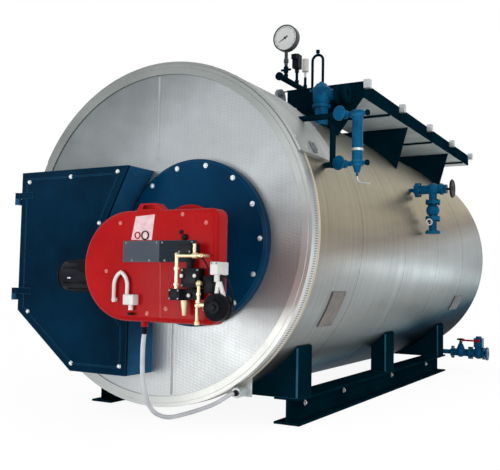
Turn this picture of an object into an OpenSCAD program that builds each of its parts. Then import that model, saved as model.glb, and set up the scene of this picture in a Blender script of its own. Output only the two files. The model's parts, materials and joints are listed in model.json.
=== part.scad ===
// Horizontal shell boiler with a front smoke box, a burner, top walkway and valves.
// Millimetres. X runs to the right as seen from the front, Y to the rear, Z up.
// The origin is on the ground, midway between the four anchor holes of the rails.

/* [Shell] */
// Outer radius of the clad shell
shell_r = 975; // [950:5:1000]
// Length of the shell from the front face to the rear face
shell_l = 4200; // [4100:10:4300]
// Height of the shell's lowest line above the ground
shell_clear = 98; // [90:1:110]
// Thickness of the insulated shell wall
wall_t = 90; // [60:1:120]
// Thickness of each end plate
end_t = 12; // [8:1:20]
// Depth of the trim ring along the shell
ring_depth = 100; // [60:5:140]
// Height that the trim ring stands above the shell
ring_rise = 10; // [8:1:14]
// Width of the flat trim on the front face
trim_w = 50; // [40:5:75]
// Height that the flat trim stands in front of the face
trim_t = 6; // [4:1:10]
// Length of the raised hood over the top of the front end
hood_l = 500; // [300:10:700]
// Height that the hood stands above the ring
hood_rise = 16; // [10:1:24]
// Angle of the hood's right edge above the horizontal
hood_a0 = 25; // [15:1:40]
// Angle of the hood's left edge above the horizontal
hood_a1 = 152; // [130:1:160]
// Thickness of the screwed side covers
cover_t = 6; // [4:1:10]
// Distance from the front face to the front side cover
side_front_y = 420; // [400:5:440]
// Length of the front side cover
side_front_l = 200; // [180:5:220]
// Distance from the front face to the rear side cover
side_rear_y = 3320; // [3300:5:3340]
// Length of the rear side cover
side_rear_l = 280; // [240:5:300]

/* [Smoke box] */
// Depth of the front smoke box without its door
box_depth = 214; // [180:1:230]
// Thickness of the sheet of the smoke box
box_t = 8; // [6:1:12]
// Thickness of the smoke box door
door_t = 20; // [16:1:26]
// Distance of the door's left edge from the shell's axis
door_left = 842; // [800:1:860]
// Height of the door's top above the shell's axis
door_top = 363; // [340:1:380]
// Depth of the door's foot below the shell's axis
door_foot = 794; // [780:1:810]
// Radius of each door hinge knuckle
knuckle_r = 18; // [14:1:22]
// Length of one hinge from bottom to top
hinge_l = 72; // [60:2:90]
// Radius of the hinge pins
pin_r = 9; // [7:0.5:11]

/* [Burner] */
// Distance of the burner's axis to the right of the shell's axis
burner_x = 285; // [270:1:300]
// Depth of the burner's axis below the shell's axis
burner_drop = 58; // [40:1:80]
// Radius of the round burner plate
plate_r = 462; // [440:1:466]
// Thickness of the burner plate
plate_t = 60; // [40:1:70]
// Radius of the burner's round flange
flange_r = 205; // [180:1:240]
// Distance of the burner cover's front from the boiler's face
cover_front = 700; // [660:1:740]
// Depth of the burner cover
cover_d = 90; // [70:1:120]
// Radius of the cover's round left end
cover_r = 258; // [240:1:275]
// Length of the cover's straight part, from the round end's centre
cover_l = 500; // [460:1:540]
// Radius of the burner motor
motor_r = 84; // [70:1:95]
// Height of the grey front panel
panel_h = 98; // [80:1:110]

/* [Base] */
// Width of each rail's flanges
rail_w = 160; // [140:2:180]
// Height of each rail
rail_h = 152; // [140:1:170]
// Thickness of the rails' flanges
rail_flange = 13; // [10:1:16]
// Thickness of the rails' webs
rail_web = 8; // [6:1:12]
// Length of each rail
rail_l = 3222; // [3100:2:3300]
// Distance from the front face to the front of the rails
rail_setback = 357; // [340:1:400]
// Distance of each rail's middle from the shell's axis
rail_x = 675; // [640:1:700]
// Thickness of the saddle plates and posts
stand_t = 15; // [10:1:20]
// Width of each post along the shell
post_w = 182; // [150:2:200]
// Radius of the anchor holes in the rails
anchor_r = 11; // [9:0.5:14]
// Distance of each anchor hole from the end of its rail
anchor_end = 75; // [60:1:100]

/* [Walkway] */
// Distance of the walkway's outer edge from the shell's axis
walk_x = 850; // [820:1:880]
// Distance of the walkway's inner edge from the shell's axis
walk_inner = 340; // [330:1:380]
// Depth of the deck's underside below the top of the shell
walk_drop = 18; // [8:1:26]
// Height of the outer fascia
fascia_h = 98; // [80:1:115]
// Distance from the front face to the front of the walkway
walk_y0 = 1103; // [1080:1:1130]
// Distance from the front face to the rear of the walkway
walk_y1 = 4110; // [4050:1:4150]
// Width of each rail socket
socket_w = 42; // [34:1:50]
// Number of rail sockets
socket_n = 5; // [4:1:6]

/* [Top fittings] */
// Radius of the gauge pipe
manifold_r = 20; // [16:1:26]
// Height of the gauge pipe above the top of the shell
manifold_rise = 150; // [135:1:180]
// Radius of the pressure gauge
gauge_r = 92; // [80:1:100]
// Height of the gauge's centre above the gauge pipe
gauge_rise = 290; // [270:1:310]
// Radius of the hole in the lifting lug
lug_hole_r = 25; // [18:1:28]
// Thickness of the lifting lug
lug_t = 25; // [20:1:30]
// Radius of the safety valve's outlet flange
outlet_flange_r = 62; // [55:1:70]
// Radius of the safety valve's outlet bore
outlet_bore_r = 25; // [20:1:30]
// Radius of the water column
column_r = 30; // [25:1:36]
// Radius of the column's pipes
column_pipe_r = 17; // [14:1:20]

/* [Side valves] */
// Height of the feed pipe above the shell's axis
feed_up = 455; // [430:1:480]
// Distance from the front face to the feed pipe
feed_y = 2072; // [2040:1:2100]
// Radius of the feed flanges
feed_flange_r = 55; // [48:1:62]
// Radius of the bore in the lower feed flange
feed_bore_r = 20; // [15:1:24]
// Radius of the feed handwheel
feed_wheel_r = 70; // [60:1:80]
// Height of the drain pipe above the shell's lowest line
drain_up = 82; // [78:1:100]
// Radius of the drain flanges
drain_flange_r = 60; // [52:1:66]
// Radius of the bore in the outer drain flange
drain_bore_r = 20; // [15:1:24]
// Radius of the drain handwheel
drain_wheel_r = 36; // [32:1:42]
// Radius of the handwheel spindles
spindle_r = 8; // [6:0.5:10]

/* [Rear] */
// Radius of the rear smoke box
rear_box_r = 700; // [640:5:760]
// Depth of the rear smoke box
rear_box_l = 180; // [140:5:220]
// Inner radius of the flue collar
flue_r = 200; // [160:5:240]
// Length of the flue collar
flue_l = 160; // [120:5:200]

/* [Cable] */
// Radius of the power cable
cable_r = 11; // [9:0.5:13]

/* [Hidden] */
$fn = 64;

// Gap between a seated piece and its seat
seat = 0.3;
// Gap between a closed door and its frame
door_gap = 0.5;
// Play of a shaft in its bore
play = 0.05;
// Overlap that joins two bodies of one casting
bite = 2;
face_y = -(rail_setback + rail_l / 2);
axis_h = shell_clear + shell_r;
trim_r = shell_r - trim_w;
drain_h = shell_clear + drain_up;
// Angle below the horizontal at which the stands' outer edges meet the shell
stand_a = acos((rail_x + rail_w / 2) / shell_r);
shell_top = axis_h + shell_r;
burner_z = axis_h - burner_drop;
hinge_x = -door_left - 30;
hinge_y = -box_depth - door_gap - door_t;
hinge_zs = [axis_h - 403, axis_h + 170];
deck_z = shell_top - walk_drop;
fascia_t = 8;
joist_h = 16;
cover_back = cover_front - cover_d;
casing_back = 330;
casing_r = cover_r - 20;
cover_x = 345;
cover_z = burner_z - 147;
cover_right = cover_x + cover_l;
motor_y = -490;
motor_x = -205;
motor_z = cover_z - 48;
panel_top = cover_z + 115;
panel_split = 543;
stand_ys = [rail_setback - 12, 1856, 3324];
manifold_x = 300;
manifold_z = shell_top + manifold_rise;
gauge_y = 1032;
switch_y = gauge_y + 173;
transmitter_y = gauge_y + 314;
manifold_y0 = gauge_y - 94;
manifold_y1 = transmitter_y + 33;
riser_h = 96;
valve_x = 580;
valve_y = 1000;
valve_z = shell_top - 20;
standpipe_x = shell_r - 30;
column_x = standpipe_x + 146;
column_y = 343;
column_zs = [axis_h + 390, axis_h + 666];
feed_z = axis_h + feed_up;
feed_tee_x = shell_r + 65;
feed_wheel_x = feed_tee_x + 146;
feed_foot_z = feed_z - 338;
drain_y = 3600;
drain_stop_x = 893;
drain_quick_x = 1058;
drain_end_x = 1141;
drain_wheel_z = drain_h + 120;
lever_z = drain_h + 117;
gland_z = 208;
gland_y = 20;
cover_gland_z = 586;
cable_points = [
    [430, -650, cover_gland_z - seat], [430, -650, 574], [430, -650, 560], [412, -635, 475],
    [392, -600, 332], [377, -520, 193], [395, -420, 133], [418, -280, 129], [483, -120, 160],
    [532, -34, 204], [540, -8, gland_z], [540, 6, gland_z], [540, gland_y - seat, gland_z]
];

// Height of the top half of a circle of radius r about the shell's axis at distance x
function above(r, x) = axis_h + sqrt(r * r - x * x);
// Height of the lower half of that circle
function below(r, x) = axis_h - sqrt(r * r - x * x);
// Distance from the axis of the shell's right side at height z
function side(r, z) = sqrt(r * r - (z - axis_h) * (z - axis_h));
// Right-hand normal of the edge from a to b
function normal(a, b) = [b[1] - a[1], a[0] - b[0]] / norm(b - a);
// A clockwise outline moved inwards by d
function inset(pts, d) = let (n = len(pts)) [
    for (i = [0:n - 1])
        let (u = normal(pts[(i + n - 1) % n], pts[i]), v = normal(pts[i], pts[(i + 1) % n]))
            pts[i] + d * (u + v) / (1 + u * v)
];
// Point on a smooth curve through p1 and p2, with p0 and p3 beside them
function curve(p0, p1, p2, p3, t) = (2 * p1 + (p2 - p0) * t
    + (2 * p0 - 5 * p1 + 4 * p2 - p3) * t * t + (3 * p1 - p0 - 3 * p2 + p3) * t * t * t) / 2;
function smooth(p, steps) = let (n = len(p)) concat([
    for (i = [0:n - 2], k = [0:steps - 1])
        curve(p[max(i - 1, 0)], p[i], p[i + 1], p[min(i + 2, n - 1)], k / steps)
], [p[n - 1]]);
function unit(v) = v / norm(v);

// A rod along each axis, from its start
module rod_x(at, r, l) translate(at) rotate([0, 90, 0]) cylinder(r = r, h = l);
module rod_y(at, r, l) translate(at) rotate([-90, 0, 0]) cylinder(r = r, h = l);
module rod_z(at, r, l) translate(at) cylinder(r = r, h = l);
// A turned piece about an axis along Y, its profile's height running to the rear
module turned_y(at) translate(at) rotate([-90, 0, 0]) rotate_extrude() children();
// A turned piece about an axis along X, its profile's height running to the right
module turned_x(at) translate(at) rotate([0, 90, 0]) rotate_extrude() children();
// A flat outline in X and Z, with its thickness running to the rear
module slab_y(y, t) translate([0, y + t, 0]) rotate([90, 0, 0]) linear_extrude(t) children();
// A curved sheet around the shell's axis, its angles from the right side upwards
module band(r0, r1, y0, y1, a0, a1)
    translate([0, 0, axis_h]) rotate([90, 0, 0]) rotate([0, 0, a0])
        rotate_extrude(angle = a1 - a0, $fn = 180) translate([r0, -y1]) square([r1 - r0, y1 - y0]);

// A round tube with rings worked out along a smooth path
module swept(path, r, sides) {
    n = len(path);
    rings = [for (i = [0:n - 1])
        let (t = unit(path[min(i + 1, n - 1)] - path[max(i - 1, 0)]),
             u = unit(cross(t, [1, 0, 0])), v = cross(t, u))
        for (k = [0:sides - 1]) path[i] + r * (cos(360 * k / sides) * u + sin(360 * k / sides) * v)];
    quads = [for (i = [0:n - 2], k = [0:sides - 1])
        [i * sides + k, i * sides + (k + 1) % sides,
         (i + 1) * sides + (k + 1) % sides, (i + 1) * sides + k]];
    start_cap = [for (k = [sides - 1:-1:0]) k];
    end_cap = [for (k = [0:sides - 1]) (n - 1) * sides + k];
    polyhedron(rings, concat([start_cap], quads, [end_cap]), convexity = 4);
}

module shell_cladding() color("silver")
    translate([0, end_t, 0]) difference() {
        rod_y([0, 0, axis_h], shell_r, shell_l - 2 * end_t, $fn = 180);
        rod_y([0, -1, axis_h], shell_r - wall_t, shell_l - 2 * end_t + 2, $fn = 180);
    }

module front_plate() color("gainsboro")
    rod_y([0, 0, axis_h], shell_r - 2, end_t, $fn = 180);

module front_ring() color("silver")
    turned_y([0, 0, axis_h], $fn = 180) polygon([
        [trim_r, -trim_t], [shell_r - 12, -trim_t], [shell_r - 12, -trim_t / 2],
        [shell_r + ring_rise, -trim_t / 2], [shell_r + ring_rise, ring_depth],
        [shell_r + seat, ring_depth], [shell_r + seat, 0], [trim_r, 0]
    ]);

module top_hood() color("silver") {
    over = shell_r + ring_rise;
    band(over + seat, over + hood_rise, 8, hood_l, hood_a0, hood_a1);
    band(shell_r + seat, over + seat + bite, ring_depth + 8, hood_l, hood_a0, hood_a1);
}

module rear_plate() color("silver")
    rod_y([0, shell_l - end_t, axis_h], shell_r - 2, end_t, $fn = 180);

module side_cover_front() color("tan")
    band(shell_r + seat, shell_r + cover_t, side_front_y, side_front_y + side_front_l,
        7.3 - stand_a, 20.3 - stand_a);

module side_cover_rear() color("tan")
    band(shell_r + seat, shell_r + cover_t, side_rear_y, side_rear_y + side_rear_l,
        9.3 - stand_a, 17.3 - stand_a);

module rear_smoke_box() color("darkslategray")
    difference() {
        rod_y([0, shell_l, axis_h], rear_box_r, rear_box_l);
        rod_y([0, shell_l - 1, axis_h], rear_box_r - box_t, rear_box_l - box_t + 1);
        rod_y([0, shell_l, axis_h + rear_box_r / 3], flue_r, rear_box_l + 1);
    }

module flue_collar() color("darkslategray")
    difference() {
        rod_y([0, shell_l + rear_box_l, axis_h + rear_box_r / 3], flue_r + box_t, flue_l);
        rod_y([0, shell_l + rear_box_l - 1, axis_h + rear_box_r / 3], flue_r, flue_l + 2);
    }

// A rolled H section along Y with an anchor hole at each end of its foot
module rail(x, outer) translate([x, rail_setback, 0]) difference() {
    union() {
        translate([-rail_w / 2, 0, 0]) cube([rail_w, rail_l, rail_flange]);
        translate([-rail_w / 2, 0, rail_h - rail_flange]) cube([rail_w, rail_l, rail_flange]);
        translate([-rail_web / 2, 0, rail_flange - 0.5])
            cube([rail_web, rail_l, rail_h - 2 * rail_flange + 1]);
    }
    for (y = [anchor_end, rail_l - anchor_end])
        rod_z([outer * rail_w / 4, y, -1], anchor_r, rail_flange + 2);
}
module rail_left() color("midnightblue") rail(-rail_x, -1);
module rail_right() color("midnightblue") rail(rail_x, 1);

// A saddle plate across one rail up to the shell, with a post plate along its outer edge
module stand_side(y, inner_x) {
    outer_x = rail_x + rail_w / 2;
    difference() {
        union() {
            slab_y(y, stand_t) polygon([
                [inner_x, rail_h], [outer_x, rail_h], [outer_x, axis_h], [inner_x, axis_h]
            ]);
            translate([outer_x - stand_t, y - 7, rail_h]) cube([stand_t, post_w, axis_h - rail_h]);
        }
        rod_y([0, y - 50, axis_h], shell_r + seat, post_w + 100, $fn = 180);
        translate([0, y - 50, below(shell_r, outer_x) - 12])
            cube([shell_r, post_w + 100, axis_h]);
    }
}
module stand(y, inner_x) for (m = [0, 1]) mirror([m, 0, 0]) stand_side(y, inner_x);
module stand_front() color("midnightblue") stand(stand_ys[0], 250);
module stand_middle() color("midnightblue") stand(stand_ys[1], rail_x - 40);
module stand_rear() color("midnightblue") stand(stand_ys[2], 250);

// Clockwise outline of the smoke box door, seen from the front
door_outline = [
    [-door_left, axis_h + door_top], [-30, axis_h + door_top],
    [burner_x - 467, burner_z + 115], [burner_x - 485, burner_z],
    [burner_x - 485, burner_z - 295], [-10, burner_z - 445],
    [-10, axis_h - door_foot], [-410, axis_h - door_foot], [-door_left, axis_h - 463]
];

// One fixed knuckle with its pin, held to the box's side by an arm
module fixed_knuckle(z) {
    half = hinge_l / 2;
    rod_z([hinge_x, hinge_y, z], knuckle_r, half);
    rod_z([hinge_x, hinge_y, z + half - 1], pin_r, half - 3);
    translate([hinge_x - 6, hinge_y, z]) cube([12, 90, half]);
    translate([hinge_x - 6, hinge_y + 78, z]) cube([-door_left - hinge_x + 6 + bite, 12, half]);
}

module smoke_box() color("midnightblue") {
    difference() {
        slab_y(-box_depth, box_depth) polygon(door_outline);
        slab_y(-box_depth - 1, box_depth + 2) polygon(inset(door_outline, box_t));
        turned_y([0, -trim_t - seat, axis_h]) polygon([
            [trim_r - seat, 0], [shell_r + 60, 0], [shell_r + 60, 20], [trim_r - seat, 20]
        ]);
    }
    for (z = hinge_zs) fixed_knuckle(z);
}

// One moving knuckle on a strap that lies on the door
module moving_knuckle(z) {
    half = hinge_l / 2;
    difference() {
        union() {
            rod_z([hinge_x, hinge_y, z + half + seat], knuckle_r, half - seat);
            translate([hinge_x, hinge_y - 8, z + half + seat]) cube([130, 8 + bite, half - seat]);
        }
        rod_z([hinge_x, hinge_y, z], pin_r + play, hinge_l + 1);
    }
}

module smoke_door() color("midnightblue") {
    slab_y(hinge_y, door_t) polygon(door_outline);
    difference() {
        slab_y(hinge_y - 3, 3 + bite) polygon(inset(door_outline, 38));
        slab_y(hinge_y - 4, 3 + 2 * bite + 1) polygon(inset(door_outline, 46));
    }
    for (z = hinge_zs) moving_knuckle(z);
}

module burner_plate() color("navy")
    turned_y([burner_x, -plate_t, burner_z], $fn = 128) polygon([
        [0, 0], [plate_r - 14, 0], [plate_r, 12], [plate_r, plate_t], [0, plate_t]
    ]);

module burner_neck() color("firebrick") {
    turned_y([burner_x, -plate_t - 34, burner_z]) polygon([
        [0, 0], [flange_r - 4, 0], [flange_r, 4], [flange_r, 34], [0, 34]
    ]);
    slab_y(-casing_back, casing_back - plate_t - 30) polygon([
        [burner_x - 150, burner_z - 150], [burner_x + 150, burner_z - 150],
        [burner_x + 150, burner_z + 110], [burner_x + 110, burner_z + 150],
        [burner_x - 110, burner_z + 150], [burner_x - 150, burner_z + 110]
    ]);
}

// Half section of a slab with a rounded front edge
module rim(r, d, f) {
    square([r - f, d]);
    square([r, d - f]);
    translate([r - f, d - f]) intersection() {
        circle(f);
        square(f);
    }
}

// A slab with one round end on the left and small corners on the right, lying in X and Y
module soft_slab(r, l, d, f, corner) {
    rotate([0, 0, 90]) rotate_extrude(angle = 180) rim(r, d, f);
    rotate([90, 0, 90]) linear_extrude(l - corner) {
        rim(r, d, f);
        mirror([1, 0]) rim(r, d, f);
    }
    translate([l - corner, r - corner, 0]) {
        rotate_extrude(angle = 90) rim(corner, d, f);
        rotate([90, 0, 0]) linear_extrude(2 * (r - corner)) rim(corner, d, f);
    }
    translate([l - corner, corner - r, 0]) rotate([0, 0, -90]) rotate_extrude(angle = 90) rim(corner, d, f);
}

module burner_casing() color("firebrick")
    translate([cover_x + 20, -casing_back, cover_z]) rotate([90, 0, 0])
        soft_slab(casing_r, cover_l - 190, cover_back - casing_back, 30, 60);

module burner_cover() color("red") {
    translate([cover_x, -cover_back, cover_z]) rotate([90, 0, 0])
        soft_slab(cover_r, cover_l, cover_d, 24, 42);
    rod_z([430, -650, cover_gland_z], 17, cover_z - cover_gland_z);
    difference() {
        slab_y(-cover_front + 14, cover_d - 24) polygon([
            [385, cover_z + cover_r - 10], [415, cover_z + cover_r + 32], [500, cover_z + cover_r + 32],
            [545, cover_z + cover_r - 10]
        ]);
        slab_y(-cover_front - 1, 40) polygon([
            [425, cover_z + cover_r + 4], [430, cover_z + cover_r + 24], [492, cover_z + cover_r + 24],
            [498, cover_z + cover_r + 4]
        ]);
    }
}

module burner_panel_left() color("gray")
    translate([336, -cover_front - 6, panel_top - panel_h]) cube([panel_split - 337, 6, panel_h]);

module burner_panel_right() color("dimgray")
    translate([panel_split + 1, -cover_front - 6, panel_top - panel_h])
        cube([196, 6, panel_h]);

module burner_motor() color("black") difference() {
    union() {
        turned_x([motor_x, motor_y, motor_z]) polygon([
            [0, 0], [motor_r - 18, 0], [motor_r - 4, 12], [motor_r - 4, 270], [motor_r, 270],
            [motor_r, cover_x - motor_x], [0, cover_x - motor_x]
        ]);
        for (a = [0:30:330])
            translate([motor_x + 36, motor_y, motor_z]) rotate([a, 0, 0])
                translate([0, -3, motor_r - 6]) cube([210, 6, 8]);
    }
    rod_y([cover_x + 20, -cover_back - 1, cover_z], casing_r + seat, cover_back);
}

module junction_box() color("white") {
    translate([350, -cover_front - 42, cover_z - 181]) cube([84, 42, 50]);
    rod_z([384, -cover_front - 20, cover_z - 205], 12, 26);
    rod_z([365, -cover_front - 16, cover_z - 133], 9, 64);
    rod_z([291, -cover_front - 16, cover_z - 160], 9, 91);
    translate([328, -cover_front - 16, cover_z - 70]) rotate([90, 0, 0])
        rotate_extrude(angle = 180) translate([37, 0]) circle(9, $fn = 24);
    rod_y([291, -cover_front - 16, cover_z - 156], 9, 16);
}

module valve_block() color("black") {
    translate([684, -cover_front - 76, cover_z + 50]) cube([86, 70, 48]);
    translate([716, -cover_front - 96, cover_z - 78]) cube([90, 96, 68]);
    translate([664, -cover_front - 88, cover_z - 142]) cube([132, 88, 36]);
    rod_y([742, -cover_front - 124, cover_z - 44], 22, 30);
    rod_y([782, -cover_front - 112, cover_z - 44], 16, 18);
    rod_z([757, -cover_front - 46, cover_z - 108], 20, 32);
}

module fuel_pipes() color("wheat") {
    y = -cover_front - 52;
    rod_z([690, y, cover_z - 106], 11, 156);
    rod_x([690, y, cover_z + 38], 11, 136);
    rod_z([826, y, cover_z + 27], 13, 54);
    rod_y([826, y, cover_z + 38], 11, 52);
    translate([724, y, cover_z - 210]) cylinder(r1 = 9, r2 = 19, h = 68);
    rod_z([786, y, cover_z - 246], 10, 104);
}

module fuel_pump() color("dimgray") {
    translate([806, -cover_front - 70, cover_z - 172]) cube([52, 70, 60]);
    turned_y([888, -cover_front - 90, cover_z - 173]) polygon([
        [0, 0], [38, 0], [44, 6], [44, 90], [0, 90]
    ]);
}

module air_servo() color("white") {
    translate([845, -cover_front - 60, cover_z - 34]) cube([72, 92, 46]);
    rod_z([884, -cover_front - 30, cover_z - 122], 10, 90);
}

// The walkway's frame: outer fascia, front panel, inner upstand and flat joists
module walkway_frame() color("darkslategray") {
    length = walk_y1 - walk_y0;
    translate([walk_x - fascia_t, walk_y0, deck_z]) cube([fascia_t, length, fascia_h]);
    translate([walk_inner - 62, walk_y0, deck_z])
        cube([walk_x - walk_inner + 62, fascia_t, fascia_h + 12]);
    translate([walk_inner, walk_y0, deck_z]) cube([fascia_t, length, fascia_h / 2]);
    translate([walk_inner, walk_y1 - fascia_t, deck_z])
        cube([walk_x - walk_inner, fascia_t, fascia_h / 2]);
}

module walkway_deck() color("lightgray") {
    room = walk_x - walk_inner - 2 * fascia_t - 2 * seat;
    translate([walk_inner + fascia_t + seat, walk_y0 + fascia_t + seat, deck_z])
        cube([room, walk_y1 - walk_y0 - 2 * fascia_t - 2 * seat, 6]);
}

gusset_ys = [for (part = [0, 1 / 3, 3 / 4]) walk_y0 + (walk_y1 - walk_y0) * part];
joist_ys = [for (part = [1 / 6, 13 / 24, 11 / 12]) walk_y0 + (walk_y1 - walk_y0) * part];

module walkway_joists() color("darkslategray")
    for (y = joist_ys)
        translate([walk_inner, y, deck_z - joist_h]) cube([walk_x - walk_inner, 12, joist_h]);

// A triangular plate from the deck down to the shell
module gusset(y, tip_x) slab_y(y, 12) difference() {
    polygon([
        [walk_inner - 62, deck_z], [walk_x - 20, deck_z], [tip_x + 4, above(shell_r, tip_x) - 10],
        [walk_inner - 62, axis_h]
    ]);
    translate([0, axis_h]) circle(shell_r + seat, $fn = 180);
}

module walkway_gussets() color("darkslategray") {
    gusset(gusset_ys[0], 650);
    gusset(gusset_ys[1], 735);
    gusset(gusset_ys[2], 735);
}

module rail_sockets() color("lightgray")
    for (k = [0:socket_n - 1])
        translate([walk_x, walk_y0 - 30 + k * (walk_y1 - walk_y0) / (socket_n - 1), deck_z + fascia_h - 40])
            difference() {
                cube([socket_w, socket_w, 58]);
                translate([socket_w / 2, socket_w / 2, 10]) cylinder(r = socket_w / 2 - 5, h = 60);
            }

module lifting_lug() color("silver") {
    x = 250;
    difference() {
        union() {
            translate([x - lug_t / 2, 985, above(shell_r, x) - 30]) cube([lug_t, 130, 90]);
            rod_x([x - lug_t / 2, 1050, above(shell_r, x) + 60], 65, lug_t);
        }
        rod_x([x - lug_t, 1050, above(shell_r, x) + 66], lug_hole_r, 2 * lug_t);
        rod_y([0, 900, axis_h], shell_r + seat, 300, $fn = 180);
    }
}

module gauge_manifold() color("darkslategray") {
    rod_y([manifold_x, manifold_y0, manifold_z], manifold_r, manifold_y1 - manifold_y0);
    rod_y([manifold_x, manifold_y0 - 12, manifold_z], manifold_r + 8, 14);
    difference() {
        rod_z([manifold_x, 1300, shell_top - 120], manifold_r, manifold_rise + 120);
        rod_y([0, 1200, axis_h], shell_r + seat, 300, $fn = 180);
    }
    for (y = [gauge_y, switch_y, transmitter_y]) {
        rod_z([manifold_x, y, manifold_z], 10, riser_h);
        rod_z([manifold_x, y, manifold_z + manifold_r - 2], 15, 22);
    }
    rod_x([manifold_x - 36, gauge_y, manifold_z + 70], 8, 72);
    rod_z([manifold_x, gauge_y, manifold_z + 50], 17, 40);
}

module pressure_gauge() color("white") {
    z = manifold_z + gauge_rise;
    turned_y([manifold_x, gauge_y - 26, z]) polygon([
        [0, 5], [gauge_r - 9, 5], [gauge_r - 6, 0], [gauge_r - 1, 0], [gauge_r, 3],
        [gauge_r, 46], [gauge_r - 8, 54], [0, 54]
    ]);
    rod_z([manifold_x, gauge_y, manifold_z + riser_h + seat], 12, gauge_rise - gauge_r - riser_h + 8);
    rod_z([manifold_x, gauge_y, manifold_z + 120], 19, 24, $fn = 6);
}

module pressure_switch() color("black") {
    rod_z([manifold_x, switch_y, manifold_z + riser_h + seat], 15, 30);
    translate([manifold_x - 24, switch_y - 30, manifold_z + riser_h + 28]) cube([48, 60, 100]);
    translate([manifold_x - 20, switch_y - 55, manifold_z + riser_h + 88]) cube([40, 40, 34]);
}

module pressure_transmitter() color("white") {
    rod_z([manifold_x, transmitter_y, manifold_z + riser_h + seat], 8, 50);
    rod_z([manifold_x, transmitter_y, manifold_z + riser_h + 44], 24, 92);
}

module safety_valve() color("steelblue") {
    difference() {
        union() {
            rod_z([valve_x, valve_y, above(shell_r, valve_x) - 60], 44, valve_z - above(shell_r, valve_x) + 60);
            rod_z([valve_x, valve_y, valve_z - 60], 60, 20);
        }
        rod_y([0, 800, axis_h], shell_r + seat, 400, $fn = 180);
    }
    translate([valve_x, valve_y, valve_z - 20]) rotate_extrude() polygon([
        [0, -40], [50, -40], [62, 0], [62, 70], [66, 74], [66, 88], [44, 96], [30, 116], [0, 116]
    ]);
    rod_x([valve_x, valve_y, valve_z + 18], 40, 112);
    for (s = [-1, 1]) rod_z([valve_x + s * 44, valve_y, valve_z + 54], 9, 130);
    translate([valve_x, valve_y, valve_z + 184]) rotate([90, 0, 0])
        rotate_extrude(angle = 180) translate([44, 0]) circle(9, $fn = 24);
    rod_z([valve_x, valve_y, valve_z + 222], 8, 44);
}

module safety_outlet() color("darkslategray")
    difference() {
        union() {
            rod_x([valve_x + 112 + seat, valve_y, valve_z + 18], outlet_flange_r, 20);
            rod_x([valve_x + 130, valve_y, valve_z + 18], 44, 44);
            rod_x([valve_x + 172, valve_y, valve_z + 18], outlet_flange_r, 20);
        }
        rod_x([valve_x + 112, valve_y, valve_z + 18], outlet_bore_r, 90);
    }

module water_column() color("royalblue") {
    low = column_zs[0];
    high = column_zs[1];
    rod_z([column_x, column_y, low - 24], column_r, high - low + 32);
    translate([column_x, column_y, high + 8]) sphere(column_r);
    translate([column_x, column_y, low - 52]) cylinder(r1 = 12, r2 = column_r, h = 30);
    rod_z([column_x, column_y, low - 84], 8, 34);
    for (z = column_zs) {
        rod_x([standpipe_x + 36, column_y, z], 14, column_x - standpipe_x - 36);
        rod_x([column_x, column_y, z], 11, 56);
        rod_x([standpipe_x + 34, column_y, z], 30, 12);
        translate([standpipe_x + 68, column_y, z]) sphere(24);
        rod_y([standpipe_x + 68, column_y - 52, z], 8, 50);
        rod_y([standpipe_x + 68, column_y - 60, z], 26, 10);
    }
}

module column_piping() color("darkslategray") difference() {
    union() {
        rod_z([standpipe_x, column_y, column_zs[0]], column_pipe_r, column_zs[1] - column_zs[0]);
        for (z = column_zs) {
            translate([standpipe_x, column_y, z]) sphere(column_pipe_r + 3);
            rod_x([standpipe_x, column_y, z], column_pipe_r, 34 - seat);
            rod_x([0, column_y, z], column_pipe_r, standpipe_x);
        }
    }
    rod_y([0, column_y - 100, axis_h], shell_r + seat, 200, $fn = 180);
    band(shell_r - 20, shell_r + ring_rise + hood_rise + seat, column_y - 100, column_y + 100,
        hood_a0 - 1, hood_a1);
}

module feed_valves() color("royalblue") {
    x0 = side(shell_r, feed_z);
    y = feed_y;
    difference() {
        union() {
            rod_x([x0 - 30, y, feed_z], 15, 80);
            rod_x([x0 + 46, y, feed_z], feed_flange_r, 34);
            rod_x([x0 + 70, y, feed_z], 34, feed_wheel_x - 40 - x0 - 70);
            translate([feed_tee_x, y, feed_z]) sphere(48);
            rod_x([feed_tee_x + 56, y, feed_z], 42, 20);
            rod_z([feed_tee_x, y, feed_foot_z], 30, 338);
            rod_z([feed_tee_x, y, feed_z - 110], feed_flange_r, 26);
            rod_z([feed_tee_x, y, feed_z - 236], feed_flange_r, 26);
            translate([feed_tee_x, y, feed_z - 160]) sphere(50);
            rod_z([feed_tee_x, y, feed_foot_z], feed_flange_r, 20);
        }
        rod_y([0, y - 200, axis_h], shell_r + seat, 400, $fn = 180);
        rod_x([feed_wheel_x - 74, y, feed_z], spindle_r + play, 40);
        rod_z([feed_tee_x, y, feed_foot_z - 1], feed_bore_r, 61);
    }
}

// A spoked handwheel about an axis along Z, with its spindle below
module handwheel(r, stem) {
    rotate_extrude() translate([r - 8, 0]) circle(8, $fn = 24);
    cylinder(r = 16, h = 20, center = true);
    for (a = [0:90:270]) rotate([0, 0, a]) translate([0, -5, -4]) cube([r - 8, 10, 8]);
    translate([0, 0, -stem]) cylinder(r = spindle_r, h = stem);
}

module feed_handwheel() color("black")
    translate([feed_wheel_x, feed_y, feed_z]) rotate([0, 90, 0]) handwheel(feed_wheel_r, 72);

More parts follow.
